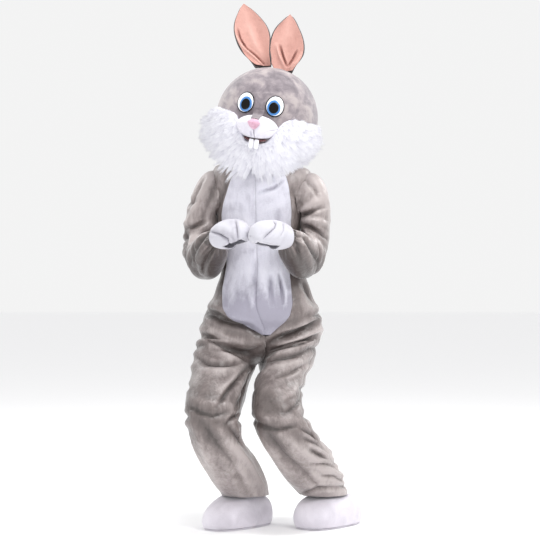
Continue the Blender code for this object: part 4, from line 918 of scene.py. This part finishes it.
def armhole_ring(name, side, seat):
    """The sleeve's start: an oval just inside the armhole's edge, on the body's surface."""
    centre, front, outward = armhole_frame(name, side)
    high, deep = ARMHOLES[name]["high"] - SEAM, ARMHOLES[name]["deep"] - SEAM
    turns = np.linspace(0, 1, RIM_POINTS)
    angle = 2 * pi * turns
    rim = (centre + high * np.cos(angle)[:, None] * UP
           + deep * np.sin(angle)[:, None] * front)
    u, v = np.meshgrid(np.linspace(*ARM_TURNS, ARM_SAMPLES), np.linspace(*ARM_ROWS, ARM_SAMPLES))
    body = (half_surface(name, u, v) - centre).reshape(-1, 3)
    seen = np.stack((body @ front, body[:, 2]), axis=1)
    reach = []
    for point in rim - centre:
        nearest = np.argmin(((seen - (point @ front, point[2])) ** 2).sum(axis=1))
        reach.append(body[nearest] @ outward)
    reach = np.array(reach) + seat

    def ring(u):
        u = np.mod(np.asarray(u, float), 1.0)
        a = 2 * pi * u
        out = np.interp(u, turns, reach)
        return (centre + high * np.cos(a)[..., None] * UP
                + deep * np.sin(a)[..., None] * front + out[..., None] * outward)
    return ring


def armpit_ring(before, ring, after):
    """The section at the armhole, eased along the underside so that the armpit stays open."""
    def eased(u):
        under = np.clip(-np.cos(2 * pi * np.asarray(u)), 0.0, 1.0)[..., None]
        return ring(u) * (1 - under) + (before(u) + after(u)) / 2 * under
    return eased


def sleeve(name, side):
    """One sleeve from its armhole to its gathered cuff."""
    centre, front, outward = armhole_frame(name, side)
    start = centre + outward * ARMHOLES[name]["out"]
    corners = [start] + [np.array(point, float) for point, _ in SLEEVE_PATHS[name]]
    bends = [bend for _, bend in SLEEVE_PATHS[name]][:-1]
    path, directions = rounded_path(corners, bends, SLEEVE_BENDS)
    directions[0] = outward
    across = carried_frames(directions, UP)
    fronts = carried_frames(directions, front)
    table = np.array(SLEEVES[name], float)
    rings = [armhole_ring(name, side, -SLEEVE_SEAT), armhole_ring(name, side, SLEEVE_SEAT)]
    for i in range(2, SLEEVE_BENDS):
        share = i / (SLEEVE_BENDS - 1)
        reach = [np.interp(share, table[:, 0], table[:, k]) for k in (1, 2, 3)]
        waves = GATHERS_DEPTH * max(0.0, (share - GATHERS_FROM) / (1 - GATHERS_FROM))
        rings.append(oval_ring(path[i], across[i], fronts[i], *reach, waves=waves))
    rings[2] = armpit_ring(*rings[1:4])
    u, v = np.meshgrid(np.arange(SLEEVE_COLUMNS) / SLEEVE_COLUMNS,
                       np.linspace(0, SLEEVE_BENDS - 1, SLEEVE_ROWS))
    points = loft(rings)(u, v)
    out = grid_out(points, side, ring=True)
    outer_view = "right" if side < 0 else "left"
    points, push = creased(points, out, (("front", SLEEVE_CREASES[name]),
                                         (outer_view, SLEEVE_SIDE_CREASES)))
    # the last sections are gathered to the cuff, the first ones eased into the armhole
    gathered = np.clip((v - (SLEEVE_BENDS - 2.6)) / 1.6, 0, 1)
    eased = np.clip(1.6 - v, 0, 1) * np.clip(v, 0, 1)
    waves = gathered * CUFF_DEPTH * np.sin(2 * pi * CUFF_GATHERS * u + 0.7 * np.sin(9 * u))
    waves = waves + eased * EASE_DEPTH * np.sin(2 * pi * EASE_PUCKERS * u)
    points = points + out * waves[..., None]
    # past the gathers the cuff closes in round the wrist, inside the mitt
    wrist = points[-1].mean(axis=0)
    turned_in = [wrist + (points[-1] - wrist) * close + directions[-1] * onward
                 for onward, close in CUFF_TURN]
    points = np.concatenate((points, turned_in))
    # painted light for the finish: crease and gather troughs darker, ridges lighter, the facing
    # and height shading added, and the cuff turned in under the mitt painted dark as shade
    shown = (push + 2 * waves) / FOLD_DEPTH
    shown = shown + painted_light_by_facing(points[:SLEEVE_ROWS], out, SLEEVE_PAINTED_LIGHT, upward=0.9)
    shown = np.concatenate((shown, np.full((len(CUFF_TURN), SLEEVE_COLUMNS), -1.0)))
    cells = np.ones((len(points) - 1, SLEEVE_COLUMNS), bool)
    piece = cloth_mesh(f"suit_sleeve_{name}", points, cells, side < 0, shown)
    sew(piece, f"sleeve_{name}", grey_velour)


for half_name, half_side in SIDES:
    sleeve(half_name, half_side)

# ---------------------------------------------------------------- neckband and back placket
# A narrow velour band that goes up inside the head, and the strip over the back closure. Like
# the other small pieces they are cut close to their solids, whose skins are welded and rounded.
WELD = 0.00002
FLATTEN, CRISP = radians(50), radians(55)   # faces that join up, and edges that stay crisp


def skin(node, levels, soften):
    """A smooth copy of a CAD node's skin, its sharp rims softened less as soften nears 1."""
    bpy.ops.object.select_all(action="DESELECT")
    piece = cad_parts[node].copy()
    piece.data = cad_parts[node].data.copy()
    piece.name = piece.data.name = "sewn_" + node
    for key in list(piece.keys()):
        del piece[key]
    piece.parent = None
    piece.hide_render = piece.hide_viewport = False
    piece.data.materials.clear()
    bpy.context.scene.collection.objects.link(piece)
    piece.select_set(True)
    bpy.context.view_layer.objects.active = piece
    bpy.ops.object.mode_set(mode="EDIT")
    bpy.ops.mesh.select_all(action="SELECT")
    bpy.ops.mesh.remove_doubles(threshold=WELD)
    bpy.ops.mesh.tris_convert_to_quads(face_threshold=FLATTEN, shape_threshold=FLATTEN)
    bpy.ops.object.mode_set(mode="OBJECT")
    mark_crisp_edges(piece, soften)
    apply_modifier(piece, "SUBSURF", levels=levels, render_levels=levels)
    piece.data.shade_smooth()
    return piece


def mark_crisp_edges(piece, crease):
    """Hold the sharp rims of a wall part-way crisp while it is rounded."""
    bm = bmesh.new()
    bm.from_mesh(piece.data)
    layer = bm.edges.layers.float.get("crease_edge") or bm.edges.layers.float.new("crease_edge")
    for edge in bm.edges:
        if len(edge.link_faces) == 2 and edge.calc_face_angle() > CRISP:
            edge[layer] = crease
    bm.to_mesh(piece.data)
    bm.free()


def cut_sheet(piece, closed_ring=False):
    """Reckon the sheet a thin skin was cut from, one side of it being half its area; the width it
    gives is not kept.
    """
    area, reach = measured(piece)
    _, middling, longest = sorted(reach)
    length = pi * (middling + longest) / 2 if closed_ring else longest
    area / 2 / length


for band in ("neckband", "back_placket"):
    cut_sheet(fit(skin(band, 2, soften=0.6), band, grey_velour), closed_ring=band == "neckband")

# ---------------------------------------------------------------- head dome
# The head is a foam dome under mottled short plush, in a front and a back half that meet in a
# seam from ear to ear. The plush is brushed every way, so it shows light and dark marks.
HEAD_MIDDLE = 0.017
DOME_PILE = 0.045                 # share by which the pile stands out at the dome's sides


def plush(name, shade, middle, light, mark=0.030):
    """Short plush in three tones, with brushed marks about as big as mark, in metres."""
    made = Finish(name, roughness=0.85, Sheen_Weight=0.35, Sheen_Roughness=0.5)
    where = made.place()
    blotch = made.cloud(mark, where, detail=4.0, distortion=0.7)
    wide = made.cloud(mark * 3.0, where, detail=2.0, distortion=0.5)
    pile = made.cloud(0.0030, where, detail=3.0)
    tone = (blotch - 0.5) * 1.0 + (wide - 0.5) * 1.2 + (pile - 0.5) * 0.30 + 0.5
    # painted light: sunk seams and folds are painted darker and raised lobes lighter, from the
    # fold attribute that press stores
    tone = tone + made.attribute("fold") * 0.5
    colour = made.node("ValToRGB", {"Fac": tone},
                       stops=((0.14, shade), (0.46, middle), (0.74, light)))
    dents = made.bump(wide, 0.006, 0.5, made.bump(pile, 0.0010, 0.6))
    made.set(Base_Color=colour, Normal=made.bump(blotch, 0.0025, 0.5, dents))
    return made.material


def widen(piece):
    for vertex in piece.data.vertices:
        vertex.co.x += (vertex.co.x - HEAD_MIDDLE) * DOME_PILE
    return piece


grey_plush = plush("grey_head_plush", (98, 90, 96), (131, 122, 127), (166, 156, 156))
for half in ("head_front", "head_back"):
    fit(widen(skin(half, 3, soften=0.9)), half, grey_plush)
fit(skin("nose_bridge", 2, soften=0.3), "nose_bridge", grey_plush)

# ---------------------------------------------------------------- muzzle, nose, mouth and teeth
# Two stuffed pads of white plush with a pink padded nose between them, over a dark felt mouth
# with two stiff white felt teeth. The pads are drawn in along sewn lines.
STUFFED_DEPTH = 5.0               # as FOLD_DEPTH, for stuffed pieces
MUZZLE_SEAMS = {
    "right": (
        (2.4, -3.0, -140, 1423, -108, 1420, -77, 1417), (4.0, -5.0, -41, 1402, -35, 1373),
    ),
    "left": (
        (2.4, -3.0, 9, 1398, 37, 1405, 65, 1412), (4.0, -5.0, -41, 1402, -35, 1373),
    ),
}


def press(piece, lines, along=None):
    """Raise or sink a finished piece along lines laid as it is seen from the front.

    A thin wall is moved whole, along one direction; a stuffed piece swells along its skin."""
    mesh = piece.data
    places = np.empty(len(mesh.vertices) * 3, np.float32)
    mesh.vertices.foreach_get("co", places)
    points = places.reshape(-1, 3) / METRE + ORIGIN
    if along is None:
        out = np.empty(len(places), np.float32)
        mesh.vertex_normals.foreach_get("vector", out)
        out = out.reshape(-1, 3)
    else:
        out = np.tile(np.array(along, float), (len(points), 1))
    points, push = creased(points, out, (("front", lines),))
    mesh.vertices.foreach_set("co", ((points - ORIGIN) * METRE).reshape(-1))
    # the push is kept for the finish, which paints the sunk lines darker and the raised ones
    # lighter
    stored = mesh.attributes.new("fold", "FLOAT", "POINT")
    stored.data.foreach_set("value", (push / STUFFED_DEPTH).astype(np.float32))
    mesh.update()
    return piece


white_plush = plush("white_plush_pile", (206, 203, 214), (226, 223, 232), (240, 238, 246),
                    mark=0.06)
pink_plush = plush("pink_nose_plush", (196, 146, 166), (212, 168, 188), (224, 186, 203), mark=0.02)
felt_mouth = plush("dark_mouth_felt", (62, 30, 34), (84, 40, 44), (104, 56, 58))
felt_white = plush("white_tooth_felt", (226, 226, 232), (242, 242, 247), (250, 250, 253))
for half_name, seams in MUZZLE_SEAMS.items():
    muzzle, tooth = f"muzzle_{half_name}", f"tooth_{half_name}"
    fit(press(skin(muzzle, 3, soften=0.25), seams), muzzle, white_plush)
    fit(skin(tooth, 2, soften=0.4), tooth, felt_white)
fit(skin("nose", 2, soften=0.2), "nose", pink_plush)
cut_sheet(fit(skin("mouth", 2, soften=0.4), "mouth", felt_mouth))

# ---------------------------------------------------------------- shoe covers
# Padded covers of white fleece that slip over the wearer's own shoes, each an upper gathered
# onto a flat padded sole.
shoe_fleece = plush("white_shoe_fleece", (196, 191, 200), (215, 210, 219), (226, 222, 230),
                    mark=0.08)
for half_name, _ in SIDES:
    for part, fill in (("shoe_upper", 0.5), ("shoe_sole", 0.2)):
        node = f"{part}_{half_name}"
        fit(skin(node, 2, soften=0.25), node, shoe_fleece)

# ---------------------------------------------------------------- mitts
# Each mitt is one stuffed tube of white plush that closes round the fingertips. Its underside is
# left open for the fingers, and its seams draw it into three lobes.
MITT = (  # share of the way to the tip, half width, reach above and below
    (0.00, 37, 36, 32), (0.12, 43, 44, 37), (0.32, 48, 51, 40), (0.52, 50, 51, 38),
    (0.72, 46, 46, 32), (0.88, 35, 35, 23), (0.96, 22, 23, 14), (1.00, 2, 2, 2),
)
MITTS = {  # wrist, tip
    "right": ((-150, -201, 1027), (-46, -287, 1040)),
    "left": ((86, -244, 1027), (-34, -320, 1030)),
}
MITT_LINES = {  # the seams first, then the stuffed lobes between them
    "right": (
        (6, -8, -176, 1050, -147, 1043, -119, 1026, -114, 1003),
        (6, -8, -91, 1086, -87, 1057, -84, 1029), (17, 7, -170, 1022, -150, 1012, -135, 1002),
        (16, 6, -158, 1066, -125, 1062, -104, 1044), (12, 5, -72, 1074, -68, 1050, -70, 1036),
    ),
    "left": (
        (6, -8, 30, 1094, 48, 1078, 44, 1063, 4, 1026), (5, -5, 72, 1080, 74, 1056, 62, 1034),
        (17, 7, -38, 1060, -14, 1078, 14, 1082), (14, 5, -24, 1030, -6, 1024, 6, 1014),
        (13, 5, 64, 1060, 50, 1034, 22, 1012),
    ),
}
MITT_COLUMNS, MITT_ROWS = 72, 64
MITT_WALL = 0.004                 # plush and its backing, in metres
PALM_OPEN, PALM_FROM, PALM_TO = -0.74, 2.2, 5.2     # how low, and between which sections
mitt_plush = plush("white_mitt_plush", (152, 150, 160), (184, 182, 191), (197, 196, 204),
                   mark=0.05)


def mitt(name, wrist, tip):
    wrist, tip = np.array(wrist, float), np.array(tip, float)
    axis = unit(tip - wrist)
    up = unit(UP - axis * axis[2])
    across = np.cross(axis, up)

    def ring(share, half, above, below):
        def section(u):
            angle = 2 * pi * np.asarray(u)
            rise = np.cos(angle) * np.where(np.cos(angle) > 0, above, below)
            return (wrist + (tip - wrist) * share + rise[..., None] * up
                    + (np.sin(angle) * half)[..., None] * across)
        return section

    u, v = np.meshgrid(np.arange(MITT_COLUMNS) / MITT_COLUMNS,
                       np.linspace(0, len(MITT) - 1, MITT_ROWS))
    points = loft([ring(*row) for row in MITT])(u, v)
    out = grid_out(points, 1.0, ring=True)
    if ((points - points.mean(axis=1, keepdims=True)) * out).sum() < 0:
        out = -out
    points, push = creased(points, out, (("front", MITT_LINES[name]),))
    palm = (np.cos(2 * pi * u) < PALM_OPEN) & (v > PALM_FROM) & (v < PALM_TO)
    facing = unit(np.cross(points[20, 1] - points[20, 0], points[21, 0] - points[20, 0]))
    piece = cloth_mesh(f"mitt_plush_{name}", points, ~palm[:-1], (facing @ out[20, 0]) > 0,
                       push / STUFFED_DEPTH)
    apply_modifier(piece, "SOLIDIFY", thickness=MITT_WALL, offset=-1.0)
    piece.data.shade_smooth()
    fit(piece, f"mitt_{name}", mitt_plush)


for half_name, ends in MITTS.items():
    mitt(half_name, *ends)

# ---------------------------------------------------------------- ears
# Each ear is a stiffened charcoal velour back with a pink velour lining, folded in towards the
# base where both are caught in the seam of the dome.
EAR_FOLDS = {
    "right": (
        (5, 8, -98, 1770, -92, 1735, -72, 1703, -36, 1672, -4, 1640),
        (4, -8, -84, 1757, -76, 1724, -56, 1694, -20, 1664, 6, 1638),
        (12, 4, -40, 1760, -28, 1712, 0, 1662), (14, 3, -60, 1830, -52, 1770, -30, 1710),
    ),
    "left": (
        (5, 7, 50, 1706, 60, 1668, 76, 1630), (4, -7, 64, 1700, 74, 1664, 86, 1630),
        (5, 7, 98, 1624, 118, 1645, 138, 1676), (4, -7, 92, 1630, 106, 1652, 122, 1684),
        (14, 3, 100, 1790, 84, 1740, 70, 1700),
    ),
}
LINING_TURN = 0.035               # share by which the lining is turned out to the ear's edge
LINING_DROP = {"right": (1690, 12), "left": (1680, 11)}   # below this height it runs on down
LINING_LIFT, LINING_LIFT_BASE = 0.0020, 0.0030            # how far it lies off the back
TOWARDS_FRONT = (0.0, -1.0, 0.0)
dark_velour = velour("charcoal_ear_velour", (54, 50, 52), (76, 71, 72), (98, 92, 92), sheen=0.25,
                     roughness=0.7)
pink_velour = velour("pink_ear_velour", (155, 106, 97), (193, 145, 134), (205, 161, 150),
                     sheen=0.3, roughness=0.65, streaks=0.5)


def lower(piece, from_height, drop):
    """Turn a lining out to the ear's edge, and draw its lower edge down to the base."""
    z = np.array([vertex.co.z for vertex in piece.data.vertices]) / METRE + ORIGIN[2]
    middle = sum((vertex.co for vertex in piece.data.vertices), Vector()) / len(z)
    for vertex, share in zip(piece.data.vertices, (from_height - z) / (from_height - z.min())):
        vertex.co.x += (vertex.co.x - middle.x) * LINING_TURN
        vertex.co.z += (vertex.co.z - middle.z) * LINING_TURN
        vertex.co.z -= max(share, 0.0) * drop * METRE
        vertex.co.y -= LINING_LIFT + max(share, 0.0) * LINING_LIFT_BASE
    return piece


for half_name, _ in SIDES:
    for layer, levels, material in (("back", 2, dark_velour), ("lining", 3, pink_velour)):
        node = f"ear_{half_name}_{layer}"
        piece = skin(node, levels, soften=0.5)
        if layer == "lining":
            lower(piece, *LINING_DROP[half_name])
        cut_sheet(fit(press(piece, EAR_FOLDS[half_name], TOWARDS_FRONT), node, material))

# ---------------------------------------------------------------- eyes
# Plain oval eyes of moulded plastic in four layers, each a little smaller and further out than
# the one below it. They are glued to the dome.
def gloss(name, colour, roughness=0.12, coat=0.5, specular=0.5):
    made = Finish(name, roughness=roughness, Coat_Weight=coat, Coat_Roughness=0.05,
                  Specular_IOR_Level=specular)
    scuffs_and_shade = made.cloud(0.004, made.place(), detail=2.0)
    made.set(Base_Color=screen(colour), Roughness=(scuffs_and_shade - 0.5) * 0.06 + roughness)
    return made.material


black_gloss = gloss("black_eye_plastic", (12, 10, 10), coat=0.0, specular=0.2)
white_gloss = gloss("white_eye_plastic", (244, 246, 250))
blue_gloss = gloss("blue_eye_plastic", (62, 124, 190))
EYE_LAYERS = (("rim", black_gloss), ("white", white_gloss), ("iris", blue_gloss),
              ("pupil", black_gloss))
for half_name, _ in SIDES:
    for layer, material in EYE_LAYERS:
        node = f"eye_{layer}_{half_name}"
        fit(skin(node, 2, soften=0.4), node, material)

# ---------------------------------------------------------------- cheek fur
# Two cheeks of long white faux fur, sewn along the plush and brushed outwards and down. Each
# strand grows from its backing, leans with its lock and tapers to a point.
HEAD_CENTRE = np.array([17.0, -20.0, 1442.0])
HEAD_RADII = np.array([173.0, 185.0, 182.0])
HEAD_YAW, HEAD_ROLL = 9.0, 9.0
NECK_POLAR = 138.0
CHEEKS = {  # azimuth in degrees, height of the fur's upper edge
    "right": ((0, -98), (12, -93), (17, -74), (21, -40), (25, -16), (30, -6), (45, 2), (60, 2),
              (75, 0), (90, -2)),
    "left": ((0, -98), (12, -93), (18, -78), (22, -52), (25, -36), (30, -17), (36, -5),
             (45, -1), (60, -1), (75, -1), (90, -2)),
}
RUFFS = {  # azimuth in degrees, how far the fur stands out, how far it hangs
    "right": ((0, 30, 44), (12, 40, 52), (30, 46, 38), (50, 48, 14), (70, 50, 0), (90, 50, -6)),
    "left": ((0, 30, 44), (12, 40, 52), (30, 44, 38), (50, 42, 14), (70, 40, -4), (90, 38, -14)),
}
STRANDS, LOCKS = 21500, 800
STRAND_WIDTH = 1.6
STRAND_GROW = (0.62, 0.98)        # how far out of the fur's depth a strand grows
LOCK_REACH = (0.12, 0.74)         # how far a lock is swept on, as a share of that depth
STRAND_LEAN = (0.20, 0.85)        # how far a strand closes up to its lock's middle
LOCK_LIE, STRAND_STRAY = 0.16, 2.2       # spread of the locks' lie, and of the tips in mm
FUR_EDGE, FUR_RISE, FUR_THIN = 0.35, 2.2, 0.18  # low at the upper edge, full, thin to the neck
CHIN_ANGLE, CHIN_FUR = 40, 0.55   # round the chin it is at least this full
UNDERFUR = 0.70                   # share of the fur's depth that the underfur fills
BACKING = 8.0                     # how far in the backing goes


def to_world(points):
    """Points in the head's own axes, moved to where the head is."""
    turn, lean = radians(-HEAD_YAW), radians(HEAD_ROLL)
    about_z = np.array([[cos(turn), -sin(turn), 0], [sin(turn), cos(turn), 0], [0, 0, 1]])
    about_y = np.array([[cos(lean), 0, sin(lean)], [0, 1, 0], [-sin(lean), 0, cos(lean)]])
    return points @ (about_y @ about_z).T + HEAD_CENTRE


def cheek_points(name, azimuth, share):
    """Backing points, outward directions and fur tips, in the head's own axes."""
    table = np.array(CHEEKS[name], float)
    height = np.interp(np.abs(azimuth), table[:, 0], table[:, 1])
    first = np.degrees(np.arccos(height / HEAD_RADII[2]))
    polar = np.radians(first + (NECK_POLAR - first) * share)
    around = np.radians(azimuth)
    points = np.stack((HEAD_RADII[0] * np.sin(polar) * np.sin(around),
                       -HEAD_RADII[1] * np.sin(polar) * np.cos(around),
                       HEAD_RADII[2] * np.cos(polar)), axis=-1)
    out = unit(points / HEAD_RADII ** 2)
    ruff = np.array(RUFFS[name], float)
    reach = np.interp(np.abs(azimuth), ruff[:, 0], ruff[:, 1])
    hang = np.interp(np.abs(azimuth), ruff[:, 0], ruff[:, 2])
    full = FUR_EDGE + (1 - FUR_EDGE) * np.sin(np.clip(share * FUR_RISE, 0, 1) * pi / 2)
    full = np.where(np.abs(azimuth) < CHIN_ANGLE, np.maximum(full, CHIN_FUR), full)
    full = full * (1 - FUR_THIN * share)
    tips = points + (reach * full)[..., None] * out - (hang * share ** 2)[..., None] * UP
    return points, out, tips


def fur(name, side, material):
    """One cheek's strands, each a tapering three-sided hair rooted inside the underfur."""
    rng = np.random.default_rng(11 if side < 0 else 12)
    azimuth = rng.uniform(0.3, 90, STRANDS) * side
    share = rng.uniform(0.0, 1.0, STRANDS)
    backed, out, tips = cheek_points(name, azimuth, share)
    length = np.linalg.norm(tips - backed, axis=1)
    roots = backed + (tips - backed) * UNDERFUR * 0.75
    # strands gather into locks, each with its own length and lie
    centre = rng.choice(STRANDS, LOCKS, replace=False)
    gap = np.array([np.argmin(((roots[i] - roots[centre]) ** 2).sum(axis=1))
                    for i in range(STRANDS)])
    upward = 1.3 * np.clip(1 - share / 0.13, 0, 1)
    sweep = np.stack((np.sin(np.radians(azimuth)) * 1.0 + side * 0.15,
                      -0.1 * np.ones(STRANDS),
                      -0.70 * np.cos(np.radians(azimuth)) - 0.12 + upward), axis=1)
    sweep = unit(sweep) + rng.normal(0, LOCK_LIE, (LOCKS, 3))[gap]
    grow = rng.uniform(*STRAND_GROW, STRANDS)
    reach = length * rng.uniform(*LOCK_REACH, LOCKS)[gap]
    ends = backed + (tips - backed) * grow[:, None] + sweep * reach[:, None]
    lean = rng.uniform(*STRAND_LEAN, STRANDS)[:, None]
    ends = ends * (1 - lean) + (ends[centre][gap] + (roots - roots[centre][gap]) * 0.25) * lean
    ends = ends + rng.normal(0, STRAND_STRAY, (STRANDS, 3))
    middle = (roots + ends) / 2 + out * (length * 0.10)[:, None]
    heading = unit(ends - roots)
    across = unit(np.cross(heading, out + rng.normal(0, 0.2, (STRANDS, 3))))
    beside = np.cross(heading, across)
    mass = unit(out + heading * 0.15 + np.array([0.0, -0.12, 0.22]))
    width = STRAND_WIDTH * rng.uniform(0.6, 1.2, STRANDS)[:, None] / 2
    places, lit = [], []
    for station, taper in ((roots, 1.0), (middle, 0.75)):
        for corner in range(3):
            turn = 2 * pi * corner / 3
            radial = across * cos(turn) + beside * sin(turn)
            places.append(station + radial * width * taper)
            lit.append(mass + radial * 0.75)
    places.append(ends)
    lit.append(mass)
    base = np.arange(STRANDS)[:, None] * len(places)
    quads = [base + [k, (k + 1) % 3, 3 + (k + 1) % 3, 3 + k] for k in range(3)]
    points = [base + [3 + k, 3 + (k + 1) % 3, 6] for k in range(3)]
    along = np.tile([0.3, 0.3, 0.3, 0.6, 0.6, 0.6, 1.0], STRANDS)
    tint = rng.uniform(0, 1, LOCKS)[gap] * 0.6 + rng.uniform(0, 0.4, STRANDS)
    piece = new_piece(f"fur_{name}", to_world(np.stack(places, axis=1).reshape(-1, 3)),
                      np.concatenate(quads).tolist() + np.concatenate(points).tolist(),
                      {"along": along, "lock": np.repeat(tint, len(places))})
    # thick fur is lit as one soft mass, so each strand mostly takes the mass's direction
    piece.data.shade_smooth()
    lit = unit(to_world(np.stack(lit, axis=1).reshape(-1, 3)) - HEAD_CENTRE)
    piece.data.normals_split_custom_set_from_vertices(lit.tolist())
    # pale hairs pass light on to each other; only the underfur below them stops it
    piece.visible_shadow = piece.visible_diffuse = False
    piece.data.materials.append(material)
    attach(piece, "root")


def backing(name, side, material):
    """The woven backing under the fur, brushed full of short underfur."""
    azimuth, share = np.meshgrid(np.linspace(0.05, 90, 90) * side, np.linspace(0, 1, 60))
    roots, out, tips = cheek_points(name, azimuth, share)
    outer = to_world(roots + (tips - roots) * UNDERFUR)
    inner = to_world(roots - out * BACKING)
    # a closed band: down the outer face, then back up the inner face
    grid = np.concatenate((outer, inner[::-1]), axis=0)
    rows, columns = grid.shape[:2]
    i, j = np.meshgrid(np.arange(rows), np.arange(columns - 1), indexing="ij")
    here, below = i * columns + j, (i + 1) % rows * columns + j
    faces = np.stack((here, here + 1, below + 1, below), axis=-1).reshape(-1, 4).tolist()
    edge = [k * columns for k in range(rows)]
    faces += [edge, [k + columns - 1 for k in reversed(edge)]]
    piece = new_piece(f"underfur_{name}", grid.reshape(-1, 3), faces,
                      {"along": np.full(rows * columns, 0.9)})
    bm = bmesh.new()
    bm.from_mesh(piece.data)
    bmesh.ops.recalc_face_normals(bm, faces=bm.faces)
    bm.to_mesh(piece.data)
    bm.free()
    piece.data.shade_smooth()
    fit(piece, f"ruff_{name}", material)


white_fur = Finish("white_long_fur", roughness=0.6)
# painted shade: each hair is painted darker towards its root, standing for the shade deep in the
# fur, which casts no shadows; the lock tint differs at random
fur_tone = white_fur.attribute("along") * 0.55 + white_fur.attribute("lock") * 0.50
white_fur.set(Base_Color=white_fur.node("ValToRGB", {"Fac": fur_tone}, stops=(
    (0.22, (166, 165, 181)), (0.50, (220, 219, 229)), (0.84, (244, 244, 250)))))
for half_name, half_side in SIDES:
    backing(half_name, half_side, white_fur.material)
    fur(half_name, half_side, white_fur.material)
